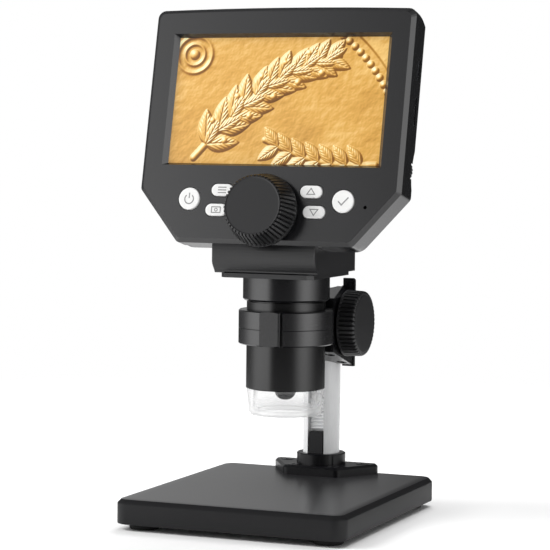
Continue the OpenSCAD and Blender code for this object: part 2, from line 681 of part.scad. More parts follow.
module front_bezel() color([0.17, 0.17, 0.18]) in_head() difference() {
    union() {
        difference() {
            union() {
                tapered_slab([0, head_chamfer], 0, head_chamfer);
                slab([head_chamfer - eps, seam_depth]) polygon(head_outline(head_chamfer));
            }
            difference() {
                slab([rim_depth, seam_depth + 1]) polygon(head_outline(head_chamfer - shell_wall));
                top_bevel(-shell_wall);
            }
        }
        mirrored() for (p = bosses) rod([rim_depth - eps, seam_depth], boss_r, p);
        rod([rim_depth - eps, button_board_depth[0] - 0.3], focus_shaft_r + 2, [0, focus_v]);
    }
    top_bevel(0);
    hull() {
        slab([-eps, 0]) square([view_w + 2 * rim_reach.x, view_h + 2 * rim_reach.y], center = true);
        slab([rim_depth, rim_depth + eps]) square([view_w, view_h], center = true);
    }
    for (b = buttons) slab([-1, rim_depth + 1]) translate(b[1]) button_outline(b[0], button_gap);
    rod([-1, button_board_depth[0]], focus_shaft_r + run_gap, [0, focus_v]);
    rod([-1, rim_depth + 1], mic_hole_r, mic_at);
    mirrored() for (p = bosses) rod([rim_depth + 0.8, seam_depth + 1], m25_r + run_gap, p);
}

function head_point(d, v) = [face_y + d * cos(tilt) + v * sin(tilt), face_z - d * sin(tilt) + v * cos(tilt)];
head_bottom = -chin_drop - head_chamfer;
low_back = head_point(head_depth, head_bottom);
hump_top = head_point(head_depth, hump_top_v);

hump_root_at = head_point(head_depth - hump_root, hump_top_v);
optics_opening_r = arm_x[1] + 1;

module optics_opening() at_barrel() cylinder(h = 300, r = optics_opening_r);

module rear_housing() color([0.16, 0.16, 0.17]) difference() {
    union() {
        in_head() difference() {
            union() {
                slab([seam_depth, head_depth - 1.2]) polygon(head_outline(head_chamfer, 6));
                tapered_slab([head_depth - 1.2 - eps, head_depth], head_chamfer, head_chamfer - 1.2, 6);
            }
            top_bevel(0);
        }
        across(2 * hump_half_w) polygon(rounded([low_back, [hump_back_y, low_back.y],
            [hump_back_y, hump_shoulder_z], hump_top, hump_root_at], [0, 0, 6, 0, 0]));
    }
    // the room in the head, less the screw bosses
    in_head() difference() {
        slab([seam_depth - 1, head_depth - shell_wall]) polygon(head_outline(head_chamfer - shell_wall, 5));
        top_bevel(-shell_wall);
        mirrored() for (p = bosses) rod([0, 30], boss_r, p);
    }
    // the room in the hump
    across(2 * (hump_half_w - shell_wall)) polygon(rounded([low_back + [shell_wall, shell_wall + 0.5],
        [hump_back_y - shell_wall, low_back.y + shell_wall], [hump_back_y - shell_wall, hump_shoulder_z - 1],
        hump_top - [0.5, 3.5], hump_root_at - [0, 3]], [0, 0, 4, 0, 0]));
    intersection() {
        optics_opening();
        block([-60, -60, low_back.y - 1], [60, 60, low_back.y + shell_wall + 1]);
        in_head() block([-60, head_depth - shell_wall, -90], [60, 60, 60]);
    }
    in_head() rod([seam_depth, head_depth + 5], focus_shaft_r + 1, [0, focus_v]);
    for (p = neck_screws_at) translate([p.x, p.y, 0]) cylinder(h = low_back.y + 1.7, r = m25_r + run_gap);
    in_head() {
        mirrored() for (p = bosses) {
            rod([seam_depth - 1, 30], m25_r + 0.15, p);
            rod([head_depth - 2.2, 30], m25_head_r + 0.1, p);
        }
        // scoop and recess for the dimmer wheel, then the two ports
        rod([dimmer_depth[0] - 1.6, 30], scoop_r, [outer_half_w + scoop_r - scoop_cut, dimmer_v]);
        rod([dimmer_depth[0] - 0.4, 30], dimmer_d / 2 + 0.4, [dimmer_x, dimmer_v]);
        block([outer_half_w - 5, seam_depth - 1, port_v - port_half_w - seat_gap],
            [outer_half_w + 5, port_depth + port_t + seat_gap, port_v + port_half_w + seat_gap]);
        block([outer_half_w - 5, seam_depth - 1, slot_v - slot_half_w - seat_gap],
            [outer_half_w + 5, port_depth + slot_t + seat_gap, slot_v + slot_half_w + seat_gap]);
    }
}

module housing_screws() color([0.3, 0.3, 0.3]) in_head() mirrored() for (p = bosses)
    translate([p.x, head_depth - 2.2, p.y]) rotate([-90, 0, 0]) screw(m25_r, 9.5, m25_head_r - 0.05, 1.2);

neck_top_front = head_point(1.95, head_bottom - seat_gap / 2);
neck_screws_at = [for (sx = [-1, 1]) each [[sx * 15.5, barrel_y - 14.5], [sx * 15.5, barrel_y + 15.5]]];
neck_head_h = 1;           // height of those screws' heads, sunk into the plate

// Side profile of the neck, shrunk by g; its curved front bulges and its top fits under the head
function neck_profile(g) =
    let (f = neck_top_front + [g, -g * tan(tilt)], c = neck_top_front - neck_bulge + [g, 0],
        e = [neck_top_front.x + neck_front_lean + g, neck_bottom_z + neck_foot_r], back = hump_back_y - g)
    concat([for (a = [30:30:90]) e + neck_foot_r * [1 - cos(a), -sin(a)]],
        [[back, neck_bottom_z], [back, low_back.y - seat_gap / 2],
        low_back - [0, seat_gap / 2]],
        [for (i = [0:10]) let (t = i / 10) (1 - t) ^ 2 * f + 2 * t * (1 - t) * c + t ^ 2 * e]);

module neck_solid(g) intersection() {
    across(2 * (hump_half_w - g)) polygon(neck_profile(g));
    linear_extrude(300) polygon(rounded([[g - hump_half_w, neck_top_front.x + g - 1.4],
        [hump_half_w - g, neck_top_front.x + g - 1.4], [hump_half_w - g, hump_back_y - g],
        [g - hump_half_w, hump_back_y - g]], [for (i = [1:4]) neck_corner_r]));
}

module neck_block() color([0.1, 0.1, 0.105]) difference() {
    neck_solid(0);
    difference() {
        intersection() {
            neck_solid(neck_wall);
            block([-60, -60, neck_bottom_z + 2], [60, 60, low_back.y - 1.6]);
        }
        for (p = neck_screws_at) translate([p.x, p.y, 0]) cylinder(h = 300, r = 3);
    }
    optics_opening();
    for (p = neck_screws_at) translate([p.x, p.y, 0]) cylinder(h = 300, r = m25_r + run_gap);
}

module neck_plate() color([0.08, 0.08, 0.085]) difference() {
    x = neck_plate_half_w;
    y = neck_plate_y;
    c = neck_plate_cut;
    translate([0, 0, plate_bottom_z]) linear_extrude(neck_plate_t)
        polygon([[c - x, y[0]], [x - c, y[0]], [x, y[0] + c], [x, y[1] - c], [x - c, y[1]], [c - x, y[1]],
            [-x, y[1] - c], [-x, y[0] + c]]);
    optics_opening();
    for (p = neck_screws_at) translate([p.x, p.y, 0]) {
        cylinder(h = 300, r = m25_r + 0.15);
        cylinder(h = plate_bottom_z + neck_head_h, r = m25_head_r + 0.15);
    }
}

module neck_screws() color([0.3, 0.3, 0.3]) for (p = neck_screws_at)
    translate([p.x, p.y, plate_bottom_z + neck_head_h]) rotate([180, 0, 0])
        screw(m25_r, low_back.y + 1.5 - plate_bottom_z - neck_head_h, m25_head_r, neck_head_h);

// ---------- inside the head ----------

module lcd_panel() color([0.75, 0.6, 0.25]) in_head()
    slab([rim_depth, rim_depth + lcd_glass_t]) square([lcd_frame_w - 2, lcd_frame_h - 2], center = true);

module lcd_frame() color([0.6, 0.6, 0.62]) in_head() difference() {
    slab([rim_depth, rim_depth + lcd_t]) square([lcd_frame_w, lcd_frame_h], center = true);
    slab([rim_depth - 1, rim_depth + lcd_glass_t])
        square([lcd_frame_w - 2 + seat_gap, lcd_frame_h - 2 + seat_gap], center = true);
}

module button_board() color([0.1, 0.35, 0.2]) in_head() difference() {
    slab(button_board_depth)
        polygon([[-47, -36.5], [47, -36.5], [46, -46.5], [37, -51.5], [-37, -51.5], [-46, -46.5]]);
    rod([0, 20], focus_shaft_r + 0.4, [0, focus_v]);
}

module tact_switches() color([0.75, 0.75, 0.77]) in_head() for (b = buttons)
    slab([button_board_depth[0] - switch_t, button_board_depth[0]])
        translate(b[1]) square([5.2, 5.2], center = true);

module main_board() color([0.1, 0.3, 0.4]) in_head() {
    slab(main_board_depth) union() {
        translate([-46, -29]) square([92, 58]);
        translate([44, dimmer_v - 5]) square([outer_half_w - 3.75 - 44, port_v - dimmer_v + 14]);
    }
    slab([rim_depth + lcd_t, main_board_depth[0]]) translate([-10, -20]) square([14, 14]);
}

module battery() color([0.75, 0.75, 0.78]) in_head()
    slab([main_board_depth[1], head_depth - shell_wall - 0.3])
        polygon(rounded([[-40, -22], [10, -22], [10, 20], [-40, 20]], [1.5, 1.5, 1.5, 1.5]));

// A socket shell that opens to the right, its mouth set back from the side of the head
module socket_shell(v, half_w, t, l, wall) difference() {
    block([outer_half_w - 0.5 - l, port_depth, v - half_w], [outer_half_w - 0.5, port_depth + t, v + half_w]);
    block([outer_half_w + 0.5 - l, port_depth + wall, v - half_w + wall],
        [outer_half_w + 1, port_depth + t - wall, v + half_w - wall]);
}

module usb_port() color([0.7, 0.7, 0.72]) in_head() socket_shell(port_v, port_half_w, port_t, 8, 0.4);

module card_slot() color([0.7, 0.7, 0.72]) in_head() socket_shell(slot_v, slot_half_w, slot_t, 13, 0.4);

module microphone() color([0.2, 0.2, 0.2]) in_head() rod([rim_depth, button_board_depth[0]], 1.8, mic_at);

module dimmer_pot() color([0.15, 0.15, 0.15]) in_head() {
    block([dimmer_x - 5, main_board_depth[1], dimmer_v - 4.5],
        [dimmer_x + 3.5, dimmer_depth[0] - 0.2, dimmer_v + 4.5]);
    rod([dimmer_depth[0] - 0.3, dimmer_depth[1] - 0.2], 1, [dimmer_x, dimmer_v]);
}

module focus_bracket() color([0.2, 0.2, 0.2]) in_head() difference() {
    half = hump_half_w - shell_wall - seat_gap;
    slab(bracket_depth) translate([-half, focus_v - 8]) square([2 * half, 15]);
    rod([0, 40], focus_shaft_r + run_gap, [0, focus_v]);
}

// ---------- barrel ----------

module barrel_upper() color([0.08, 0.08, 0.085]) at_barrel() {
    r = barrel_top_d / 2;
    z = barrel_joint_z + joint_groove;
    seat = barrel_joint_z + spigot_h;
    turned([[spigot_r + run_gap, z], [r - 0.8, z], [r, z + 0.8], [r, plate_bottom_z],
        [barrel_bore_r, plate_bottom_z], [barrel_bore_r, seat], [spigot_r + run_gap, seat]]);
}

module barrel_lower() color([0.08, 0.08, 0.085]) at_barrel() {
    seat = barrel_joint_z + spigot_h;
    turned([[cap_seat_r, barrel_z], [barrel_r - 0.3, barrel_z], [barrel_r, barrel_z + 0.3],
        [barrel_r, barrel_joint_z], [spigot_r, barrel_joint_z], [spigot_r, seat], [barrel_bore_r, seat],
        [barrel_bore_r, barrel_z + cap_seat_h], [cap_seat_r, barrel_z + cap_seat_h]]);
}

module sensor_board() color([0.1, 0.35, 0.2]) at_barrel() difference() {
    translate([0, 0, sensor_board_z]) cylinder(h = 1.2, r = barrel_bore_r - seat_gap);
    block([arm_x[0] - 0.5, -arm_w / 2 - 0.6, 0], [30, arm_w / 2 + 0.6, 200]);
}

module image_sensor() color([0.2, 0.2, 0.25]) at_barrel()
    block([-4, -4, sensor_board_z - 1.5], [4, 4, sensor_board_z]);

module lens_guide() color([0.15, 0.15, 0.15]) at_barrel() translate([0, 0, guide_z[0]]) difference() {
    cylinder(h = guide_z[1] - guide_z[0], r = barrel_bore_r - run_gap);
    translate([0, 0, -1]) cylinder(h = 30, r = lens_tube_r + run_gap);
}

cap_hole_r = 11.5;         // opening in the cap's bottom
led_z = barrel_z + cap_seat_h - led_board_t;
led_ring_r = 12.1;

module led_board() color([0.9, 0.9, 0.9]) at_barrel(led_z) difference() {
    cylinder(h = led_board_t, r = cap_seat_r - run_gap);
    translate([0, 0, -1]) cylinder(h = 5, r = lens_tube_r + 0.7);
}

module leds() color([1, 0.95, 0.7]) at_barrel(led_z - 1) for (i = [0:7]) rotate([0, 0, i * 45 + 22.5])
    translate([led_ring_r, 0, 0.5]) cube([2.2, 2.6, 1], center = true);

module clear_cap() color([0.85, 0.87, 0.88]) at_barrel() {
    bottom = barrel_z - cap_h;
    seat_r = cap_seat_r - run_gap;
    low_r = barrel_r - 1.6;
    turned([[seat_r, led_z], [seat_r, barrel_z], [barrel_r - 0.4, barrel_z], [low_r, bottom + 1],
        [low_r - 0.7, bottom], [cap_hole_r, bottom], [cap_hole_r, bottom + 1.8],
        [low_r - cap_wall, bottom + 1.8], [seat_r - cap_wall, barrel_z], [seat_r - cap_wall, led_z]]);
}

// ---------- focus ----------

module focus_knob() color([0.05, 0.05, 0.05]) in_head() translate([0, -0.5, focus_v]) rotate([90, 0, 0])
    ribbed_knob(focus_knob_d / 2, focus_knob_front_d / 2, focus_knob_l, [1.9, 3.2], 0.7, focus_knob_ribs, 0.6,
        focus_shaft_r + run_gap / 2, focus_knob_l - 2);

module focus_shaft() color([0.7, 0.7, 0.72]) in_head() {
    rod([2 - focus_knob_l, focus_pinion_depth[0] - 1.2], focus_shaft_r, [0, focus_v]);
    rod([0, focus_pinion_depth[1] + 0.4], focus_end_r, [0, focus_v]);
}

module focus_pinion() color([0.9, 0.9, 0.85]) in_head()
    translate([0, (focus_pinion_depth[0] + focus_pinion_depth[1]) / 2, focus_v]) rotate([90, 0, 0])
        spur(focus_pinion_teeth, focus_pinion_depth[1] - focus_pinion_depth[0], focus_end_r + run_gap / 2);

module lens_tube() color([0.1, 0.1, 0.1]) at_barrel() difference() {
    union() {
        turned([[0, nose_z], [nose_r - 0.8, nose_z], [nose_r, nose_z + 0.8], [nose_r, nose_z + 5],
            [lens_tube_r, lens_tube_z[0]], [lens_tube_r, lens_tube_z[1]], [0, lens_tube_z[1]]]);
        block([lens_tube_r - 1, -arm_w / 2, lens_tube_z[1] - 5], [arm_x[1], arm_w / 2, lens_tube_z[1]]);
        block([arm_x[0], -arm_w / 2, lens_tube_z[1] - 1], [arm_x[1], arm_w / 2, link_z[1]]);
    }
    turned([[0, nose_z - 1], [1.6, nose_z - 1], [2.6, nose_z + 1.5], [2.6, nose_z + 5], [5.6, lens_tube_z[0]],
        [5.6, lens_tube_z[1] - 8], [6.1, lens_tube_z[1] - 8], [6.1, 200], [0, 200]]);
}

// The rack's teeth run along the focus shaft, so they slant across the upright bar
module focus_rack() color([0.9, 0.9, 0.85]) {
    mid = head_point((focus_pinion_depth[0] + focus_pinion_depth[1]) / 2, focus_v)[1];
    back = focus_pinion_r + 2.2;
    half = focus_travel + 2.2;
    gaps = ceil(half / PI / tooth_module);
    intersection() {
        in_head() translate([focus_pinion_r, 0, focus_v])
            slab([focus_pinion_depth[0] - 6, focus_pinion_depth[1] + 6]) rack_profile(-gaps, gaps, 2.2);
        at_barrel() block([0, -arm_w / 2, mid - half], [back, arm_w / 2, mid + half]);
    }
    at_barrel() {
        block([focus_pinion_r + 0.9, -arm_w / 2, link_z[0]], [back, arm_w / 2, mid - half + 0.2]);
        block([focus_pinion_r + 0.9, -arm_w / 2, link_z[0]], [arm_x[0], arm_w / 2, link_z[1]]);
    }
}

module front_lens() color([0.6, 0.7, 0.75]) at_barrel()
    translate([0, 0, nose_z + 2]) cylinder(h = 1.6, r = 2.6 - run_gap);

module rear_lens() color([0.6, 0.7, 0.75]) at_barrel()
    translate([0, 0, lens_tube_z[1] - 8]) cylinder(h = 2.4, r = 6.1 - run_gap);

// ---------- buttons and dimmer ----------

// One button with the flange that keeps it behind its hole
module button(b) color([0.93, 0.93, 0.92]) in_head() {
    slab([-button_proud, rim_depth + 0.2]) translate(b[1]) button_outline(b[0], 0);
    slab([rim_depth + button_back_t[0], rim_depth + button_back_t[1]])
        translate(b[1]) button_outline(b[0], button_flange);
}

module dimmer_wheel() color([0.05, 0.05, 0.05]) in_head() translate([dimmer_x, 0, dimmer_v]) difference() {
    rod(dimmer_depth, dimmer_d / 2);
    rod([0, dimmer_depth[1] - 0.1], 1 + run_gap);
    for (i = [0:29]) rotate([0, i * 12, 0]) rod([0, 30], 0.35, [dimmer_d / 2 + 0.1, 0]);
}

base_plate();
base_feet();
column_foot();
foot_screws();
column();
column_bolt();
rack();
rack_screws();
carriage_upper();
carriage_lower();
carriage_screws();
carriage_cover();
cover_screws();
pinion_shaft();
pinion();
lift_knob_right();
lift_knob_left();
front_bezel();
rear_housing();
housing_screws();
neck_block();
neck_plate();
neck_screws();
lcd_panel();
lcd_frame();
button_board();
tact_switches();
main_board();
battery();
usb_port();
card_slot();
microphone();
dimmer_pot();
focus_bracket();
barrel_upper();
barrel_lower();
sensor_board();
image_sensor();
lens_guide();
led_board();
leds();
clear_cap();
focus_knob();
focus_shaft();
focus_pinion();
lens_tube();
focus_rack();
front_lens();
rear_lens();
button(buttons[0]);  // power_button
button(buttons[1]);  // ok_button
button(buttons[2]);  // menu_button
button(buttons[3]);  // mode_button
button(buttons[4]);  // up_button
button(buttons[5]);  // down_button
dimmer_wheel();
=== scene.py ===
import bpy
import bmesh
import json
import math
import numpy as np
from mathutils import Matrix, Vector

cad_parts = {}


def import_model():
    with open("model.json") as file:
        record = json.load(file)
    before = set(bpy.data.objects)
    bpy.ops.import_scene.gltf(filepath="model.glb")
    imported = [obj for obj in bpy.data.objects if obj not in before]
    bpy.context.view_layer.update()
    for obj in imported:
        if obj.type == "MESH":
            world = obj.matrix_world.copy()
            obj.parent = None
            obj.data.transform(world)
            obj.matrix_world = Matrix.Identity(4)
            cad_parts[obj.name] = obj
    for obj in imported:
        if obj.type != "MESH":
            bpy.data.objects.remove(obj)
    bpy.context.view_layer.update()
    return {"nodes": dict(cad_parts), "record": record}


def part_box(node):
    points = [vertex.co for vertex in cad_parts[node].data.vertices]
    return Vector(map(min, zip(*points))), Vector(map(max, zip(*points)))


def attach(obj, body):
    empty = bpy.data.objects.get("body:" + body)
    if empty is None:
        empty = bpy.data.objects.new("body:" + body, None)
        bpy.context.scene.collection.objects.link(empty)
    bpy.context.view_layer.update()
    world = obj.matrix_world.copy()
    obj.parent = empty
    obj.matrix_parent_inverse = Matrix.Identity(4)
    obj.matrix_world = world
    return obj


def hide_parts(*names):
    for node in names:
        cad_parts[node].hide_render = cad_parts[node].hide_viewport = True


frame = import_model()
scene = bpy.context.scene

# Sizes and places are in millimetres, apart from the stage's at the end, and meshes are made in metres
MM = 0.001

# The head's own frame: its origin is on the face at the screen's centre, with X to the right, Y into the head
# and Z up the face
HEAD_Y, HEAD_Z, HEAD_TILT = -10.4, 178.5, 12.5
HEAD = (Matrix.Translation((0, HEAD_Y * MM, HEAD_Z * MM))
        @ Matrix.Rotation(-math.radians(HEAD_TILT), 4, "X"))


def box_mm(node):
    """A CAD node's lowest and highest corners in millimetres."""
    low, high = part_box(node)
    return [c / MM for c in low], [c / MM for c in high]


# ---------- shader helpers ----------

def tree(name):
    """A new material with only its principled shader and its output."""
    m = bpy.data.materials.new(name)
    m.use_nodes = True
    nt = m.node_tree
    for n in list(nt.nodes):
        if n.type not in {"BSDF_PRINCIPLED", "OUTPUT_MATERIAL"}:
            nt.nodes.remove(n)
    return m, nt, nt.nodes["Principled BSDF"]


def coords(nt, scale=(1, 1, 1)):
    """Object coordinates in millimetres, then scaled."""
    source = nt.nodes.new("ShaderNodeTexCoord")
    mapping = nt.nodes.new("ShaderNodeMapping")
    mapping.inputs["Scale"].default_value = [s / MM for s in scale]
    nt.links.new(source.outputs["Object"], mapping.inputs["Vector"])
    return mapping.outputs["Vector"]


def split(nt, vec):
    """The three parts of a vector, by the names X, Y and Z."""
    n = nt.nodes.new("ShaderNodeSeparateXYZ")
    nt.links.new(vec, n.inputs[0])
    return n.outputs


def noise(nt, vec, scale, detail, rough=0.5):
    """Noise of a fineness per millimetre, as a factor about 0.5."""
    n = nt.nodes.new("ShaderNodeTexNoise")
    n.inputs["Scale"].default_value = scale
    n.inputs["Detail"].default_value = detail
    n.inputs["Roughness"].default_value = rough
    nt.links.new(vec, n.inputs["Vector"])
    return n.outputs["Fac"]


def ramp(nt, fac, a, b, lo=0.3, hi=0.7):
    """A number that goes from a to b as the factor goes from lo to hi."""
    n = nt.nodes.new("ShaderNodeMapRange")
    n.inputs["From Min"].default_value = lo
    n.inputs["From Max"].default_value = hi
    n.inputs["To Min"].default_value = a
    n.inputs["To Max"].default_value = b
    nt.links.new(fac, n.inputs["Value"])
    return n.outputs["Result"]


def blend_colour(nt, fac, a, b, lo=0.3, hi=0.7):
    """A colour that goes from a to b as the factor goes from lo to hi."""
    n = nt.nodes.new("ShaderNodeValToRGB")
    for stop, place, colour in zip(n.color_ramp.elements, (lo, hi), (a, b)):
        stop.position = place
        stop.color = (*colour, 1)
    nt.links.new(fac, n.inputs["Fac"])
    return n.outputs["Color"]


def feed(nt, socket, value):
    """Give an input a plain number, or link it to an output."""
    if isinstance(value, (int, float)):
        socket.default_value = value
    else:
        nt.links.new(value, socket)


def maths(nt, operation, *values):
    """A maths node on outputs and plain numbers."""
    n = nt.nodes.new("ShaderNodeMath")
    n.operation = operation
    for socket, value in zip(n.inputs, values):
        feed(nt, socket, value)
    return n.outputs[0]


def mix_value(nt, fac, a, b):
    """The value a where the factor is 0 and b where it is 1; a and b are outputs or plain numbers."""
    m = nt.nodes.new("ShaderNodeMix")
    m.data_type = "FLOAT"
    for key, value in (("Factor", fac), ("A", a), ("B", b)):
        feed(nt, next(i for i in m.inputs if i.name == key and i.type == "VALUE" and i.enabled), value)
    return next(o for o in m.outputs if o.type == "VALUE" and o.enabled)


def mix_surface(nt, fac, first, second):
    """Make the material's surface a mix of two shaders."""
    mix = nt.nodes.new("ShaderNodeMixShader")
    for socket, value in zip(mix.inputs, (fac, first.outputs[0], second.outputs[0])):
        nt.links.new(value, socket)
    nt.links.new(mix.outputs[0], nt.nodes["Material Output"].inputs["Surface"])


def bump(nt, p, height, strength, distance):
    """Relief on a shader's surface, with its distance in millimetres."""
    b = nt.nodes.new("ShaderNodeBump")
    b.inputs["Strength"].default_value = strength
    b.inputs["Distance"].default_value = distance * MM
    nt.links.new(height, b.inputs["Height"])
    nt.links.new(b.outputs["Normal"], p.inputs["Normal"])


# ---------- materials ----------

def even(name, colour, rough, spec, grain, depth, spread=0.06):
    """A moulded or coated surface with only a slow change of tone, and a fine even grain."""
    m, nt, p = tree(name)
    v = coords(nt)
    dark = [c * (1 - spread) for c in colour]
    light = [c * (1 + spread) for c in colour]
    rough_spread = 0.015
    tone = noise(nt, v, scale=0.02, detail=2)
    gloss = noise(nt, v, scale=2.5, detail=3)
    nt.links.new(blend_colour(nt, tone, dark, light), p.inputs["Base Color"])
    nt.links.new(ramp(nt, gloss, rough - rough_spread, rough + rough_spread), p.inputs["Roughness"])
    bump(nt, p, noise(nt, v, grain, detail=2), strength=0.4, distance=depth)
    p.inputs["Specular IOR Level"].default_value = spec
    return m


# Colour, roughness, specular level, grain per millimetre, its depth in millimetres and, where it isn't the
# usual one, the spread of tone
EVEN = {
    "base_black": ((0.018, 0.018, 0.0195), 0.30, 0.80, 5.0, 0.004),
    # The base's sides: painted shade, a darker and duller copy of its top's black
    "base_side_shaded_black": ((0.010, 0.010, 0.011), 0.48, 0.26, 5.0, 0.004),
    "foot_black": ((0.004, 0.004, 0.005), 0.34, 0.34, 5.0, 0.003),
    "carriage_black": ((0.005, 0.005, 0.006), 0.26, 0.80, 5.0, 0.003),
    "barrel_black": ((0.006, 0.006, 0.007), 0.24, 0.74, 5.0, 0.002),
    # The lower barrel: painted shade, a darker and duller copy of the barrel's black that offsets the light
    # it gets from below
    "low_barrel_shaded_black": ((0.003, 0.003, 0.0035), 0.23, 0.55, 5.0, 0.002),
    "neck_black": ((0.009, 0.009, 0.010), 0.42, 0.62, 5.0, 0.003),
    "head_black": ((0.0085, 0.0085, 0.0097), 0.22, 0.78, 6.0, 0.004),
    "knob_black": ((0.012, 0.012, 0.013), 0.40, 0.54, 6.0, 0.004),
    "button_white": ((0.94, 0.94, 0.93), 0.40, 0.45, 3.0, 0.003, 0.01),
}


def grained(name, colour, spread, rough, rough_spread, grain, depth, spec=0.5, metal=0.0):
    """A moulded or blackened surface with a grain, and with slow variation of colour and gloss."""
    m, nt, p = tree(name)
    v = coords(nt)
    dark = [c * (1 - spread) for c in colour]
    light = [c * (1 + spread) for c in colour]
    tone = noise(nt, v, scale=0.05, detail=3)
    gloss = noise(nt, v, scale=0.22, detail=4)
    nt.links.new(blend_colour(nt, tone, dark, light), p.inputs["Base Color"])
    nt.links.new(ramp(nt, gloss, rough - rough_spread, rough + rough_spread), p.inputs["Roughness"])
    bump(nt, p, noise(nt, v, grain, detail=3), strength=0.6, distance=depth)
    p.inputs["Specular IOR Level"].default_value = spec
    p.inputs["Metallic"].default_value = metal
    return m


# Colour, its spread, roughness, its spread, grain per millimetre, its depth in millimetres and, where they
# aren't the usual ones, the specular level and how metallic it is
GRAINED = {
    "rubber": ((0.012, 0.012, 0.012), 0.18, 0.72, 0.06, 3.5, 0.03, 0.3),
    "panel_tray": ((0.45, 0.46, 0.48), 0.05, 0.45, 0.05, 3.0, 0.005),
    "pcb_green": ((0.012, 0.10, 0.035), 0.15, 0.35, 0.06, 2.0, 0.01),
    "chip_black": ((0.02, 0.02, 0.02), 0.1, 0.5, 0.05, 4.0, 0.01),
    "battery_foil": ((0.5, 0.5, 0.52), 0.06, 0.35, 0.08, 1.2, 0.03),
    "white_board": ((0.75, 0.75, 0.73), 0.04, 0.4, 0.05, 3.0, 0.005),
    "gear_white": ((0.75, 0.74, 0.68), 0.04, 0.4, 0.05, 3.0, 0.005),
    "black_screws": ((0.02, 0.02, 0.022), 0.1, 0.32, 0.06, 5.0, 0.01, 0.5, 0.4),
    "mark_grey": ((0.30, 0.30, 0.30), 0.1, 0.5, 0.05, 4.0, 0.004),
}


def brushed(name, colour, rough, along, metal):
    """Drawn or ground metal with a fine grain along one axis."""
    m, nt, p = tree(name)
    stretch = 0.04
    v = coords(nt, [stretch if axis == along else 1 for axis in "xyz"])
    grain = noise(nt, v, scale=6, detail=4, rough=0.6)
    nt.links.new(blend_colour(nt, grain, [c * 0.88 for c in colour], colour), p.inputs["Base Color"])
    nt.links.new(ramp(nt, grain, rough * 0.8, rough * 1.25), p.inputs["Roughness"])
    bump(nt, p, grain, strength=0.25, distance=0.01)
    p.inputs["Metallic"].default_value = metal
    return m


# Colour, roughness, the axis of the grain and how metallic it is
BRUSHED = {
    "column_alu": ((0.93, 0.935, 0.94), 0.46, "z", 0.12),
    "steel": ((0.88, 0.885, 0.89), 0.42, "x", 0.2),
    "sheet_steel": ((0.58, 0.59, 0.61), 0.35, "x", 1.0),
    "brass": ((0.72, 0.52, 0.22), 0.3, "x", 1.0),
}


def glass(name, tint, rough, clear, ior):
    """Clear glass with a slight change of polish."""
    m, nt, p = tree(name)
    v = coords(nt)
    polish = noise(nt, v, scale=0.5, detail=3)
    tone = noise(nt, v, scale=0.12, detail=2)
    nt.links.new(ramp(nt, polish, rough * 0.7, rough * 1.3), p.inputs["Roughness"])
    nt.links.new(blend_colour(nt, tone, [c * 0.97 for c in tint], tint), p.inputs["Base Color"])
    p.inputs["Transmission Weight"].default_value = clear
    p.inputs["IOR"].default_value = ior
    return m


def frosted_clear(name, tint, rough, painted_glow, foot, top, foot_veil, top_veil, side_veil):
    """Frosted clear plastic that veils what is behind it: more at its foot than at its top, and most at its
    sides, where it is seen along its wall."""
    m, nt, p = tree(name)
    v = coords(nt)
    p.inputs["Roughness"].default_value = rough
    # Painted glow: a white emission that stands in for the light that scatters inside the plastic
    p.inputs["Emission Color"].default_value = (1, 1, 1, 1)
    p.inputs["Emission Strength"].default_value = painted_glow
    # Its wall takes more light where it is seen along its length
    edge = nt.nodes.new("ShaderNodeLayerWeight")
    edge.inputs["Blend"].default_value = 0.5
    facing = edge.outputs["Facing"]
    nt.links.new(blend_colour(nt, facing, tint, [c * 0.66 for c in tint], 0.55, 0.95), p.inputs["Base Color"])
    clear = nt.nodes.new("ShaderNodeBsdfTransparent")
    nt.links.new(blend_colour(nt, facing, (1, 1, 1), (0.86, 0.86, 0.86), 0.6, 0.95), clear.inputs[0])
    veil = ramp(nt, split(nt, v)["Z"], foot_veil, top_veil, foot, top)
    mix_surface(nt, mix_value(nt, ramp(nt, facing, 0, 1, 0.45, 1.0), veil, side_veil), clear, p)
    return m


def lamp_material():
    """The yellow body of an unlit white lamp."""
    m, nt, p = tree("lamp")
    tone = noise(nt, coords(nt), scale=1.2, detail=2)
    nt.links.new(blend_colour(nt, tone, (0.9, 0.82, 0.5), (1, 0.96, 0.8)), p.inputs["Base Color"])
    p.inputs["Roughness"].default_value = 0.35
    return m


def toothed_steel(name, tip, depth):
    """Bright steel teeth with painted shade in the gaps between them, darker by their depth along the frame's
    y axis.
    """
    m, nt, p = tree(name)
    v = coords(nt)
    # Painted shade: the gaps darken from the teeth's tips to their roots
    tooth, gap = (0.90, 0.905, 0.91), (0.10, 0.10, 0.11)
    nt.links.new(blend_colour(nt, split(nt, v)["Y"], tooth, gap, tip + 0.15 * depth, tip + depth),
                 p.inputs["Base Color"])
    nt.links.new(ramp(nt, noise(nt, v, scale=3, detail=3), 0.36, 0.48), p.inputs["Roughness"])
    bump(nt, p, noise(nt, v, scale=6, detail=2), strength=0.25, distance=0.01)
    p.inputs["Metallic"].default_value = 0.2
    return m


M = {
    **{name: even(name, *look) for name, look in EVEN.items()},
    **{name: grained(name, *look) for name, look in GRAINED.items()},
    **{name: brushed(name, *look) for name, look in BRUSHED.items()},
    "clear_plastic": frosted_clear("clear_plastic", tint=(0.965, 0.968, 0.972), rough=0.30, painted_glow=0.07,
                                   foot=45.5, top=50.5, foot_veil=0.36, top_veil=0.05, side_veil=0.55),
    "lens_glass": glass("lens_glass", tint=(0.86, 0.92, 0.98), rough=0.03, clear=0.9, ior=1.52),
    "lamp": lamp_material(),
    "rack_steel": toothed_steel("rack_steel", tip=box_mm("rack")[0][1], depth=1.05),
}

# The nodes that don't take the material of their slot's name, because the photo shows them in another tone
FINISH = {
    "column_foot": "foot_black",
    # The lower barrel's darker black is painted shade, offsetting the light it gets from below
    "barrel_lower": "low_barrel_shaded_black",
    "neck_block": "neck_black",
    "neck_plate": "neck_black",
    "rack": "rack_steel",
}


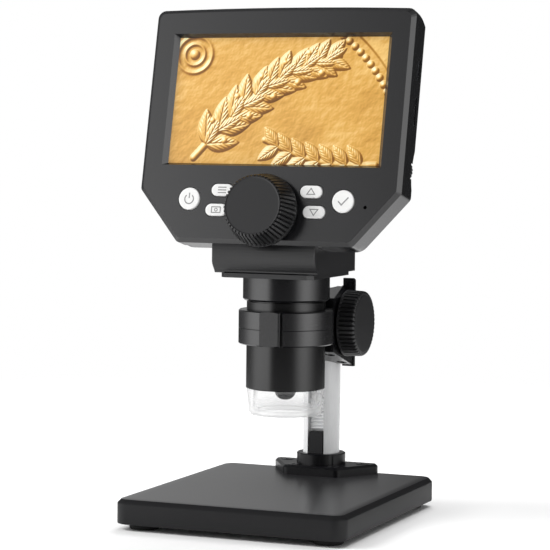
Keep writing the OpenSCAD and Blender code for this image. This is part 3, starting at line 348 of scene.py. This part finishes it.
def finish_nodes():
    """Give each CAD node its material; the screen's slot has none, because the lit picture covers it."""
    slot_of = {s["node"]: s["material_slot"] for s in frame["record"]["subparts"]}
    for name, node in frame["nodes"].items():
        material = M.get(FINISH.get(name, slot_of[name]))
        if material:
            node.data.materials.clear()
            node.data.materials.append(material)


finish_nodes()


# ---------- the screen's picture: a made-up gilt relief, seen from above ----------

NOISE_GRID = 96         # random heights along each side of a noise's grid
NOISE_MIDDLE = 40       # where the picture's centre lies on that grid


def value_noise(x, y, cell, seed):
    """Smooth noise between 0 and 1 on a grid of the given cell size."""
    grid = np.random.default_rng(seed).random((NOISE_GRID, NOISE_GRID))
    u, v = x / cell + NOISE_MIDDLE, y / cell + NOISE_MIDDLE
    i, j = np.floor(u).astype(int), np.floor(v).astype(int)
    a, b = u - i, v - j
    a, b = a * a * (3 - 2 * a), b * b * (3 - 2 * b)
    i, j = i % (NOISE_GRID - 1), j % (NOISE_GRID - 1)
    lower = grid[j, i] * (1 - a) + grid[j, i + 1] * a
    upper = grid[j + 1, i] * (1 - a) + grid[j + 1, i + 1] * a
    return lower * (1 - b) + upper * b


def dome(distance, radius, height):
    """The height of a dome, or of a round bar's back, at a distance from its middle."""
    return height * np.sqrt(np.clip(1 - (distance / radius) ** 2, 0, 1))


def stem(x, y, points, width, height):
    """A round bar along a chain of points."""
    out = np.zeros_like(x)
    for (x0, y0), (x1, y1) in zip(points, points[1:]):
        dx, dy = x1 - x0, y1 - y0
        t = np.clip(((x - x0) * dx + (y - y0) * dy) / (dx * dx + dy * dy), 0, 1)
        out = np.maximum(out, dome(np.hypot(x - x0 - t * dx, y - y0 - t * dy), width, height))
    return out


def leaf(x, y, root, heading, length, width, height):
    """A domed leaf with a sunken rib and slanting veins."""
    ca, sa = math.cos(heading), math.sin(heading)
    u = ((x - root[0]) * ca + (y - root[1]) * sa) / length
    v = (-(x - root[0]) * sa + (y - root[1]) * ca) / width
    along = np.clip(u, 0, 1)
    inside = (u > 0) & (u < 1)
    outline = np.where(inside, np.sin(math.pi * along ** 0.8) ** 0.8, 0)
    across = np.abs(v) / np.maximum(outline, 1e-3)
    blade = np.where(inside & (across < 1), np.sqrt(np.clip(1 - across ** 2.4, 0, 1)), 0)
    crown = 0.75 + 0.25 * np.sin(math.pi * along)
    rib = 0.35 * np.exp(-(v / 0.07) ** 2) * (1 - 0.6 * along)
    slant = np.cos((u * 9 - np.abs(v) * 4.5) * 2 * math.pi / 1.6)
    veins = 0.10 * slant * (1 - np.exp(-(v / 0.12) ** 2))
    return height * blade * (crown + veins - rib)


def main_spray(x, y):
    """The main spray climbs from the lower left to the upper right in a slow arc, with leaves and berries."""
    arc = [(-36 + 62 * t, -25 + 44 * t + 9 * math.sin(math.pi * t)) for t in np.linspace(0, 1, 13)]
    shapes = [stem(x, y, arc, width=1.5, height=1.5)]
    for k, (place, ahead) in enumerate(zip(arc[1:], arc[2:]), 1):
        run = math.atan2(ahead[1] - place[1], ahead[0] - place[0])
        size = 1.0 - 0.025 * k
        for side in (1, -1):
            heading = run + side * math.radians(40 + 6 * math.sin(k * 2.1))
            shapes.append(leaf(x, y, place, heading, length=15.5 * size, width=3.9 * size,
                               height=2.4 + 0.2 * side))
        heading = run + math.radians(16 if k % 2 else -16)
        shapes.append(leaf(x, y, place, heading, length=13 * size, width=3.1 * size, height=3.0))
    for px, py in arc[2:11:2]:
        for side in (1, -1):
            bx, by = px - side * 5.2 * math.sin(0.65), py + side * 5.4 * math.cos(0.65)
            shapes.append(dome(np.hypot(x - bx, y - by), radius=1.9, height=2.9))
    return shapes


def small_spray(x, y):
    """A smaller spray runs along the lower right."""
    arc = [(46 - 50 * t, -27 + 10 * t - 4 * math.sin(math.pi * t)) for t in np.linspace(0, 1, 9)]
    shapes = [stem(x, y, arc, width=1.2, height=1.2)]
    for place in arc[1:8]:
        for side in (1, -1):
            heading = math.pi - 0.15 + side * 0.75
            shapes.append(leaf(x, y, place, heading, length=10.5, width=2.7, height=1.9))
    return shapes


def beaded_rim(x, y):
    """A rim and its row of beads at the upper right, about a far centre."""
    cx, cy, bead_circle, bead_step = -18.0, -34.0, 76.5, 0.047
    radius = np.hypot(x - cx, y - cy)
    turn = np.round(np.arctan2(y - cy, x - cx) / bead_step) * bead_step
    to_bead = np.hypot(x - cx - bead_circle * np.cos(turn), y - cy - bead_circle * np.sin(turn))
    rim = 1.5 * np.clip((radius - 80.5) / 0.8, 0, 1) - 0.2 * np.clip((radius - 84) / 6, 0, 1)
    return [rim, dome(to_bead, radius=1.55, height=1.7)]


def hammered_rings(x, y):
    """Two rings about a boss, at the upper left."""
    d = np.hypot(x + 40, y - 20)
    outer = 0.8 * np.exp(-((d - 8) / 0.8) ** 2)
    inner = 0.9 * np.exp(-((d - 4.6) / 0.7) ** 2)
    return [outer + inner + dome(d, radius=2.2, height=1.8)]


def relief(x, y):
    """Height in millimetres of the relief: sprays of leaves with berries inside a beaded rim."""
    ground = sum(height * value_noise(x, y, cell, seed)
                 for height, cell, seed in ((0.30, 9, 1), (0.14, 2.2, 2), (0.05, 0.7, 3)))
    shapes = main_spray(x, y) + small_spray(x, y) + beaded_rim(x, y) + hammered_rings(x, y)
    return ground + np.max(np.stack(shapes), axis=0)


PICTURE_WIDTH, PICTURE_HEIGHT, PICTURE_STEP = 95.0, 54.8, 0.2
PICTURE_DEPTH = 2.33    # behind the head's face, just in front of the panel

# The gilt's colours from its shadows to its brightest slopes
GILT_TONES = [0.0, 0.30, 0.55, 0.75, 0.92, 1.1]
GILT_COLOURS = np.array([(0.10, 0.035, 0.004), (0.36, 0.15, 0.018), (0.66, 0.36, 0.075), (0.85, 0.56, 0.19),
                         (0.97, 0.78, 0.42), (1.0, 0.94, 0.74)])


def unit(vec):
    """Vectors in the same directions with a length of 1."""
    return vec / np.linalg.norm(vec, axis=-1, keepdims=True)


def gilt_colours(x, y):
    """The relief's colours: its slopes' tone in a light from the upper left, and their shine."""
    z = relief(x, y)
    smoothing = np.array([1, 2, 1]) / 4
    for axis in (0, 1):
        z = np.apply_along_axis(
            lambda row: np.convolve(np.pad(row, 1, mode="edge"), smoothing, "valid"), axis, z)
    rise, slope = np.gradient(z, PICTURE_STEP, PICTURE_STEP)
    normal = unit(np.stack([-slope, -rise, np.full_like(z, 0.85)], axis=-1))
    light = unit(np.array([-0.55, 0.62, 0.56]))
    half = unit(light + np.array([0, 0, 1.0]))
    lit = np.clip(normal @ light, 0, 1)
    gloss = np.clip(normal @ half, 0, 1) ** 26
    height = np.minimum(z / 3.0, 1)
    tone = 0.06 + 0.86 * lit + 0.12 * height + 0.14 * (value_noise(x, y, 14, 5) - 0.5)
    tone = np.clip(tone, 0, GILT_TONES[-1])
    rgb = np.stack([np.interp(tone, GILT_TONES, GILT_COLOURS[:, c]) for c in range(3)], axis=-1)
    return np.clip(rgb + 0.30 * gloss[..., None] * np.array([1.0, 0.95, 0.8]), 0, 1)


def picture_material():
    """The lit screen, which shows its mesh's own colours."""
    m, nt, p = tree("screen_picture")
    a = nt.nodes.new("ShaderNodeAttribute")
    a.attribute_name = "Col"
    nt.links.new(a.outputs["Color"], p.inputs["Base Color"])
    nt.links.new(a.outputs["Color"], p.inputs["Emission Color"])
    p.inputs["Emission Strength"].default_value = 0.21
    p.inputs["Roughness"].default_value = 0.12
    p.inputs["Specular IOR Level"].default_value = 0.5
    return m


def screen_picture():
    """A fine sheet of the lit picture just in front of the panel, coloured by the relief's slopes."""
    nx, nz = int(PICTURE_WIDTH / PICTURE_STEP) + 1, int(PICTURE_HEIGHT / PICTURE_STEP) + 1
    gx, gz = np.meshgrid(np.linspace(-PICTURE_WIDTH / 2, PICTURE_WIDTH / 2, nx),
                         np.linspace(-PICTURE_HEIGHT / 2, PICTURE_HEIGHT / 2, nz))
    rgb = gilt_colours(gx, gz).reshape(-1, 3)
    verts = np.stack([gx.ravel() * MM, np.full(gx.size, PICTURE_DEPTH * MM), gz.ravel() * MM], axis=1)
    idx = np.arange(nx * nz).reshape(nz, nx)
    faces = np.stack([idx[:-1, :-1], idx[:-1, 1:], idx[1:, 1:], idx[1:, :-1]], axis=-1).reshape(-1, 4)
    me = bpy.data.meshes.new("screen_picture")
    me.from_pydata(verts.tolist(), [], faces.tolist())
    me.transform(HEAD)
    att = me.color_attributes.new("Col", "FLOAT_COLOR", "POINT")
    att.data.foreach_set("color", np.hstack([rgb, np.ones((len(rgb), 1))]).astype(np.float32).ravel())
    me.materials.append(picture_material())
    o = bpy.data.objects.new("screen_picture", me)
    scene.collection.objects.link(o)
    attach(o, "microscope")


screen_picture()


# ---------- mesh helpers ----------

def piece(name, verts, faces, material, body, replaces=(), matrix=None, angle=35):
    """A finished mesh piece from vertices in millimetres, smooth but for edges sharper than angle."""
    me = bpy.data.meshes.new(name)
    me.from_pydata([tuple(c * MM for c in v) for v in verts], [], faces)
    bm = bmesh.new()
    bm.from_mesh(me)
    bmesh.ops.recalc_face_normals(bm, faces=bm.faces)
    bm.to_mesh(me)
    bm.free()
    if matrix:
        me.transform(matrix)
    for f in me.polygons:
        f.use_smooth = True
    me.set_sharp_from_angle(angle=math.radians(angle))
    me.materials.append(M[material])
    o = bpy.data.objects.new(name, me)
    scene.collection.objects.link(o)
    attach(o, body)
    for n in replaces:
        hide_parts(n)
    return o


def band(a, b, n):
    """Faces between two closed loops of n vertices that begin at a and b."""
    return [(a + i, a + (i + 1) % n, b + (i + 1) % n, b + i) for i in range(n)]


def loops_mesh(loops):
    """A closed mesh through closed loops of equal length, with a face over the first and the last."""
    n = len(loops[0])
    verts = [v for loop in loops for v in loop]
    faces = [f for k in range(len(loops) - 1) for f in band(k * n, (k + 1) * n, n)]
    faces += [tuple(range(n - 1, -1, -1)), tuple(range(len(verts) - n, len(verts)))]
    return verts, faces


def turned(profile, segments, wobble=lambda turn, r, z: 0):
    """A body turned about Z from (radius, z) points; wobble adds to the radius by turn, radius and z."""
    loops = []
    for r, z in profile:
        ring = []
        for i in range(segments):
            t = 2 * math.pi * i / segments
            rr = r + wobble(t, r, z)
            ring.append((rr * math.cos(t), rr * math.sin(t), z))
        loops.append(ring)
    return loops_mesh(loops)


CORNER_STEPS = 10


def rounded_rect(w, d, r, inset, z):
    """A rectangle with round corners, drawn in from its sides by the inset."""
    pts = []
    r = max(r - inset, 0.05)
    x, y = w / 2 - inset - r, d / 2 - inset - r
    for cx, cy, start in ((x, y, 0), (-x, y, 90), (-x, -y, 180), (x, -y, 270)):
        for i in range(CORNER_STEPS + 1):
            t = math.radians(start + 90 * i / CORNER_STEPS)
            pts.append((cx + r * math.cos(t), cy + r * math.sin(t), z))
    return pts


# ---------- base plate and feet ----------

BASE_CORNER = 6
FEET_X, FEET_Y = 40.75, 49.2


def base_plate():
    """The coated plate: rounded under its rim and bevelled above, with painted shade on its sides and bevels:
    a darker, duller copy of its top's black.
    """
    low, high = box_mm("base_plate")
    w, d, under, top = high[0] - low[0], high[1] - low[1], low[2], high[2]
    # Each loop's inset from the sides, and its height
    rim = [(0.5, under), (0.12, under + 0.12), (0, under + 0.5),
           (0, top - 1.95), (0.05, top - 1.75), (0.18, top - 1.54),
           (1.52, top - 0.20), (1.72, top - 0.06), (1.98, top), (6, top)]
    v, f = loops_mesh([rounded_rect(w, d, BASE_CORNER, inset, z) for inset, z in rim])
    o = piece("base_plate_coated", v, f, "base_black", body="stand",
              replaces=["base_plate"], angle=60)
    # Painted shade: the faces that don't face up take a darker, duller copy of the top's black
    o.data.materials.append(M["base_side_shaded_black"])
    for face in o.data.polygons:
        if face.normal.z < 0.9:
            face.material_index = 1


def feet():
    """Four turned rubber feet, each with a shallow hollow beneath and a rounded edge."""
    foot = [(0.01, 0.25), (3.6, 0.25), (3.9, 0.0), (5.5, 0.0), (5.95, 0.12), (6.2, 0.5), (6.3, 1.0),
            (6.3, 2.3), (6.15, 2.6), (0.01, 2.6)]
    verts, faces = [], []
    for sx in (-1, 1):
        for sy in (-1, 1):
            v, f = turned(foot, 48)
            n = len(verts)
            verts += [(x + sx * FEET_X, y + sy * FEET_Y, z) for x, y, z in v]
            faces += [tuple(i + n for i in q) for q in f]
    piece("rubber_feet", verts, faces, "rubber", body="stand", replaces=["base_feet"])


base_plate()
feet()


# ---------- buttons, in the head's frame: x to the right, v up the face, depth into it ----------

# Each button's shape and the place of its centre, from the screen's centre
BUTTONS = {
    "power_button": ("round", -34.8, -43.3),
    "ok_button": ("round", 34.4, -43.1),
    "menu_button": ("pill", -20, -39.3),
    "mode_button": ("pill", -22, -47.8),
    "up_button": ("pill", 20, -39.3),
    "down_button": ("pill", 22, -47.8),
}
ROUND_RADIUS = 4.75
PILL_RADIUS, PILL_HALF_WIDTH = 2.6, 4.9
CROWN = -0.60           # depth of a button's crown, in front of the face
MARK_FOOT = -0.50       # depth that its mark's sides go down to


def circle(radius, points):
    """Points evenly round a circle about the origin."""
    turns = np.linspace(0, 2 * math.pi, points + 1)[:-1]
    return [(radius * math.cos(t), radius * math.sin(t)) for t in turns]


def outline(shape, inset):
    """A button's outline round its own centre, as (x, v) points."""
    if shape == "round":
        return circle(ROUND_RADIUS - inset, 72)
    r, x = PILL_RADIUS - inset, PILL_HALF_WIDTH - PILL_RADIUS
    right = [(x + r * math.cos(t), r * math.sin(t)) for t in np.linspace(-math.pi / 2, math.pi / 2, 19)]
    return right + [(-a, -b) for a, b in right]


def button_cap(name, shape, x, v):
    """A button with a flange behind the face and a crowned, rounded front."""
    # Each loop's inset from the button's outline, and its depth
    flange = [(-0.9, 3.25), (-0.9, 2.45)]
    front = [(0, 2.45), (0, -0.28), (0.05, -0.42), (0.16, -0.53), (0.36, -0.59), (0.7, CROWN), (1.5, -0.58),
             (2.3, -0.56)]
    verts, faces = loops_mesh([[(x + a, depth, v + b) for a, b in outline(shape, inset)]
                               for inset, depth in flange + front])
    piece(name + "_cap", verts, faces, "button_white", body=name, replaces=[name],
          matrix=HEAD, angle=40)


def ribbon(points, width, closed):
    """A flat stroke of constant width along (x, v) points, as left and right rows."""
    p = [Vector(q) for q in points]
    n = len(p)
    rows = []
    for i in range(n):
        before = (p[i] - p[i - 1]).normalized() if i or closed else Vector((0, 0))
        after = (p[(i + 1) % n] - p[i]).normalized() if i < n - 1 or closed else Vector((0, 0))
        tangent = (before + after).normalized()
        side = Vector((-tangent.y, tangent.x))
        run = before if i or closed else after
        reach = width / 2 / max(side.dot(Vector((-run.y, run.x))), 0.4)
        rows.append((p[i] + side * reach, p[i] - side * reach))
    return rows


def mark(name, strokes, x, v, body):
    """The dark raised marks on a button's crown."""
    verts, faces = [], []
    for points, width, closed in strokes:
        rows = ribbon(points, width, closed)
        n, first = len(rows), len(verts)
        for left, right in rows:
            for q, depth in ((left, MARK_FOOT), (left, CROWN), (right, CROWN), (right, MARK_FOOT)):
                verts.append((x + q.x, depth, v + q.y))
        for i in range(n if closed else n - 1):
            faces += band(first + 4 * i, first + 4 * ((i + 1) % n), 4)
        if not closed:
            faces += [tuple(first + k for k in range(4)), tuple(first + 4 * n - 1 - k for k in range(4))]
    piece(name, verts, faces, "mark_grey", body=body, matrix=HEAD, angle=30)


# Each button's strokes: the points about its centre, the width and whether the stroke is closed
OPEN_RING = [(2.0 * math.sin(t), 2.0 * math.cos(t) - 0.15)
             for t in np.linspace(math.radians(38), math.radians(322), 25)]
SYMBOLS = {
    "power_button": [(OPEN_RING, 0.48, False), ([(0, 2.5), (0, 0.2)], 0.48, False)],
    "ok_button": [([(-2.1, 0.1), (-0.6, -1.5), (2.3, 1.7)], 0.55, False)],
    "menu_button": [([(-1.9, v), (1.9, v)], 0.42, False) for v in (1.15, 0, -1.15)],
    "mode_button": [([(-2.0, -1.2), (2.0, -1.2), (2.0, 1.2), (-2.0, 1.2)], 0.4, True),
                    (circle(0.62, 16), 0.34, True)],
    "up_button": [([(-1.75, -1.1), (1.75, -1.1), (0, 1.45)], 0.4, True)],
    "down_button": [([(-1.75, 1.1), (0, -1.45), (1.75, 1.1)], 0.4, True)],
}
for button, (shape, bx, bv) in BUTTONS.items():
    button_cap(button, shape, bx, bv)
    mark(button + "_mark", SYMBOLS[button], bx, bv, button)


# ---------- knobs: each outline is (radius, height above the knob's back) ----------

STEPS_PER_RIB = 12


def ribbed_knob(name, node, body, profile, ribs, depth, collar, crest, matrix):
    """A turned knob with grooves between rounded ribs, from the height of its collar through its front edge
    to the radius of its crest."""
    groove_share, run_in, run_out = 0.62, 0.25, 0.4

    def groove(turn, r, z):
        across = max(0, 1 - (abs(math.sin(ribs * turn / 2)) / groove_share) ** 2)
        begun = min(1, max(0, (z - collar) / run_in))
        ended = min(1, max(0, (r - crest) / run_out))
        return -depth * begun * across * ended

    v, f = turned(profile, ribs * STEPS_PER_RIB, groove)
    piece(name, v, f, "knob_black", body=body, replaces=[node], matrix=matrix, angle=38)


def focus_knob():
    """The focus knob under the screen, which tapers to a front with a raised edge."""
    radius, front, collar, taper, crest = 15.5, 13.0, 3.2, 9.7, 12.1
    gap, v = 0.5, -48.1         # in front of the face, and up it from the screen's centre
    back = [(2.1, 0.02), (13.6, 0.0), (14.2, 0.55), (15.1, 1.45), (15.42, 1.85), (radius, 2.0),
            (radius, 3.1)]
    side = [(radius - (radius - front) * (z - collar) / taper, z)
            for z in (collar, 3.3, 3.5, 5, 7, 9, 11, 12.2, 12.6)]
    edge = [(front, 12.95), (12.86, 13.25), (12.6, 13.46), (12.32, 13.55), (crest, 13.6), (11.9, 13.58),
            (11.7, 13.5), (11.5, 13.5), (0.05, 13.5)]
    place = Matrix.Translation((0, -gap * MM, v * MM)) @ Matrix.Rotation(math.radians(90), 4, "X")
    ribbed_knob("focus_knob_ribbed", node="focus_knob", body="focus_knob", profile=back + side + edge,
                ribs=48, depth=0.95, collar=collar, crest=crest, matrix=HEAD @ place)


def lift_knobs():
    """The two lift knobs on one axis, with a rounded edge and a shallow ring in the front."""
    radius, collar, taper, edge_radius, crest = 14.6, 0.8, 0.3, 1.25, 12.9
    shoulder, front = 6.9, 8.15
    back = [(2.1, 0.02), (14.3, 0.0), (radius, 0.3), (radius, collar)]
    side = [(radius - taper * (z - collar) / (shoulder - collar), z)
            for z in (0.85, 1.05, 2, 4, 5.5, shoulder)]
    edge = [(13.0 + edge_radius * math.cos(t), shoulder + edge_radius * math.sin(t))
            for t in np.linspace(0.15, 1.45, 7)]
    face = [(crest, front), (12.75, 8.02), (12.55, front), (12.3, front), (0.05, front)]
    low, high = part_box("lift_knob_right")
    for side_name, sgn in (("right", 1), ("left", -1)):
        place = (Matrix.Translation((sgn * low[0], (low[1] + high[1]) / 2, (low[2] + high[2]) / 2))
                 @ Matrix.Rotation(math.radians(90 * sgn), 4, "Y"))
        ribbed_knob(f"lift_knob_{side_name}_ribbed", node=f"lift_knob_{side_name}", body="lift_knobs",
                    profile=back + side + edge + face, ribs=44, depth=0.85, collar=collar, crest=crest,
                    matrix=place)


focus_knob()
lift_knobs()


# ---------- lens tube and its nose ----------

def lens_tube():
    """The moving tube: a rounded dark nose, a step with a thread, and the arm that the rack is fixed to."""
    low, high = box_mm("lens_tube")
    axis_y, nose, arm_top = (low[1] + high[1]) / 2, low[2], high[2]
    nose_r, r, bore, top, cup = 4.6, 8.5, 6.1, 83.1, 7.7
    opening = [(0.05, nose + 0.9), (1.55, nose + 0.9), (1.6, nose + 0.45)]
    rounding = [(nose_r * math.sin(t), nose + 3.9 * (1 - math.cos(t)))
                for t in np.linspace(0.42, math.pi / 2, 9)]
    step = [(nose_r, nose + 4.9), (5.5, nose + 5.95), (r - 0.15, nose + 8.85), (r, nose + 9.2)]
    thread = [(r - (0.12 if i % 2 else 0), nose + 9.5 + 0.35 * i) for i in range(9)]
    wall = [(r, nose + 12.8), (r, top - 0.3), (r - 0.3, top), (6.4, top), (bore, top - 0.3),
            (bore, top - cup), (0.05, top - cup)]
    v, f = turned(opening + rounding + step + thread + wall, 96)
    base = len(v)
    v = [(x, y + axis_y, z) for x, y, z in v]
    # The arm's chamfered section as (y, x) points; low down, its inner side reaches into the tube's wall
    arm_x, arm_in = 9.6, -2.0
    arm = [(-2, 0.3), (-1.7, 0), (1.7, 0), (2, 0.3), (2, 1.7), (1.7, 2), (-1.7, 2), (-2, 1.7)]
    for z, inner in ((top - 5, arm_in), (top - 0.1, arm_in), (top - 0.05, 0.0), (arm_top, 0.0)):
        v += [(arm_x + (inner if b < 1 else 0) + b, axis_y + a, z) for a, b in arm]
    n = len(arm)
    for k in range(3):
        f += band(base + n * k, base + n * (k + 1), n)
    f += [tuple(range(base + n - 1, base - 1, -1)), tuple(range(base + 3 * n, base + 4 * n))]
    piece("lens_tube_turned", v, f, "barrel_black", body="lens",
          replaces=["lens_tube"], angle=32)


lens_tube()


# ---------- stage, light and camera: in metres from here on ----------

FLOOR_RADIUS = 0.62
FLOOR_FADE = (0.14, 0.58)       # the floor fades into the white background between these radii


def floor():
    """A white table top that fades out before its rim."""
    me = bpy.data.meshes.new("floor")
    rim = [(x, y, 0) for x, y in circle(FLOOR_RADIUS, 96)]
    me.from_pydata(rim, [], [tuple(range(len(rim)))])
    o = bpy.data.objects.new("floor", me)
    scene.collection.objects.link(o)
    m, nt, p = tree("floor_white")
    p.inputs["Base Color"].default_value = (0.92, 0.92, 0.92, 1)
    p.inputs["Roughness"].default_value = 0.7
    p.inputs["Specular IOR Level"].default_value = 0.1
    source = nt.nodes.new("ShaderNodeTexCoord")
    length = nt.nodes.new("ShaderNodeVectorMath")
    length.operation = "LENGTH"
    nt.links.new(source.outputs["Object"], length.inputs[0])
    fade = nt.nodes.new("ShaderNodeMapRange")
    fade.interpolation_type = "SMOOTHSTEP"
    fade.inputs["From Min"].default_value, fade.inputs["From Max"].default_value = FLOOR_FADE
    nt.links.new(length.outputs["Value"], fade.inputs["Value"])
    mix_surface(nt, fade.outputs["Result"], p, nt.nodes.new("ShaderNodeBsdfTransparent"))
    me.materials.append(m)


# The studio's walls as the glossy pieces see them, as stops of an angle in degrees and a brightness: a soft
# box at the left, one at the right, and dark between
WALLS = [(-180, 0.30), (-168, 0.72), (-150, 1.0), (-132, 1.04), (-120, 1.10), (-114, 0.56), (-110.5, 0.17),
         (-105, 0.02), (-60, 0.03), (-46, 0.10), (-34, 0.58), (-22, 1.0), (-8, 1.0), (6, 0.60), (20, 0.22),
         (34, 0.05), (50, 0.02), (98, 0.02), (125, 0.03), (145, 0.05), (165, 0.10), (180, 0.30)]
# A dim panel behind the object, which begins above the table
BACK_PANEL = [(106, 0.0), (113, 0.22), (121, 0.30), (131, 0.12), (145, 0.0)]
PANEL_RISE = (0.01, 0.06)       # the heights of a direction between which the panel begins
CEILING_RISE = (0.28, 0.62)     # and between which the walls give way to the ceiling
CEILING_SHARE, CEILING = 0.85, 0.07     # how far the ceiling takes over, and its brightness
WALL_STRENGTH = 2.2
AMBIENT = 0.55                  # the even light that matt surfaces get from all sides


def brightness_round(nt, turn, stops):
    """Brightness by direction, from stops of an angle in degrees and a value."""
    n = nt.nodes.new("ShaderNodeValToRGB")
    n.color_ramp.interpolation = "EASE"
    el = n.color_ramp.elements
    while len(el) < len(stops):
        el.new(0.5)
    for e, (deg, v) in zip(el, stops):
        e.position = (deg + 180) / 360
        e.color = (v, v, v, 1)
    nt.links.new(turn, n.inputs["Fac"])
    return n.outputs["Color"]


def world():
    """White to the camera and through clear pieces, a studio to glossy surfaces, even light to the rest."""
    w = bpy.data.worlds.new("studio")
    scene.world = w
    w.use_nodes = True
    nt = w.node_tree
    bg = nt.nodes["Background"]
    bg.inputs["Color"].default_value = (1, 1, 1, 1)
    ray = nt.nodes.new("ShaderNodeLightPath").outputs
    direction = split(nt, nt.nodes.new("ShaderNodeTexCoord").outputs["Generated"])
    angle = maths(nt, "ARCTAN2", direction["Y"], direction["X"])
    turn = ramp(nt, angle, 0, 1, -math.pi, math.pi)
    panel = brightness_round(nt, turn, BACK_PANEL)
    panel_height = ramp(nt, direction["Z"], 0, 1, *PANEL_RISE)
    walls = maths(nt, "MULTIPLY_ADD", panel, panel_height, brightness_round(nt, turn, WALLS))
    ceiling = ramp(nt, direction["Z"], 0, CEILING_SHARE, *CEILING_RISE)
    studio = maths(nt, "MULTIPLY", mix_value(nt, ceiling, walls, CEILING), WALL_STRENGTH)
    unseen = mix_value(nt, ray["Is Glossy Ray"], AMBIENT, studio)
    seen = maths(nt, "MAXIMUM", ray["Is Camera Ray"], ray["Is Transmission Ray"])
    nt.links.new(mix_value(nt, seen, unseen, 1.0), bg.inputs["Strength"])


def lamp(name, place, aim, size, watts):
    """A soft lamp that is itself seen neither directly nor in a reflection."""
    d = bpy.data.lights.new(name, "AREA")
    d.shape = "RECTANGLE"
    d.size, d.size_y = size
    d.energy = watts
    o = bpy.data.objects.new(name, d)
    o.location = place
    o.rotation_euler = (Vector(aim) - Vector(place)).to_track_quat("-Z", "Y").to_euler()
    o.visible_camera = False
    o.visible_glossy = False
    scene.collection.objects.link(o)


CAMERA_PLACE = Vector((348.48, -870.71, 161.71)) * MM
# Degrees to the left, degrees down, and the roll that lifts the camera's right side
CAMERA_TURN, CAMERA_DIP, CAMERA_ROLL = 22.01, 3.52, 0.63
CAMERA_LENS, CAMERA_SENSOR = 144.35, 36     # millimetres


def camera():
    """The photo's camera: its place, its direction and its lens."""
    turn, dip, roll = (math.radians(a) for a in (CAMERA_TURN, CAMERA_DIP, CAMERA_ROLL))
    right = Vector((math.cos(turn), math.sin(turn), 0))
    ahead = Vector((-math.sin(turn) * math.cos(dip), math.cos(turn) * math.cos(dip), -math.sin(dip)))
    up = right.cross(ahead)
    rolled_right = right * math.cos(roll) + up * math.sin(roll)
    rolled_up = -right * math.sin(roll) + up * math.cos(roll)
    c = bpy.data.cameras.new("camera")
    c.lens = CAMERA_LENS
    c.sensor_width = CAMERA_SENSOR
    c.clip_end = 50
    o = bpy.data.objects.new("camera", c)
    axes = Matrix((rolled_right, rolled_up, -ahead)).transposed()
    o.matrix_world = Matrix.Translation(CAMERA_PLACE) @ axes.to_4x4()
    scene.collection.objects.link(o)
    scene.camera = o


floor()
world()
lamp("key_left", place=(-1.0, -0.5, 0.9), aim=(0, 0, 0.12), size=(0.7, 0.9), watts=16)
lamp("top_back", place=(0.1, 0.7, 1.1), aim=(0, 0, 0.10), size=(1.0, 0.6), watts=10.5)
camera()
scene.view_settings.view_transform = "Standard"
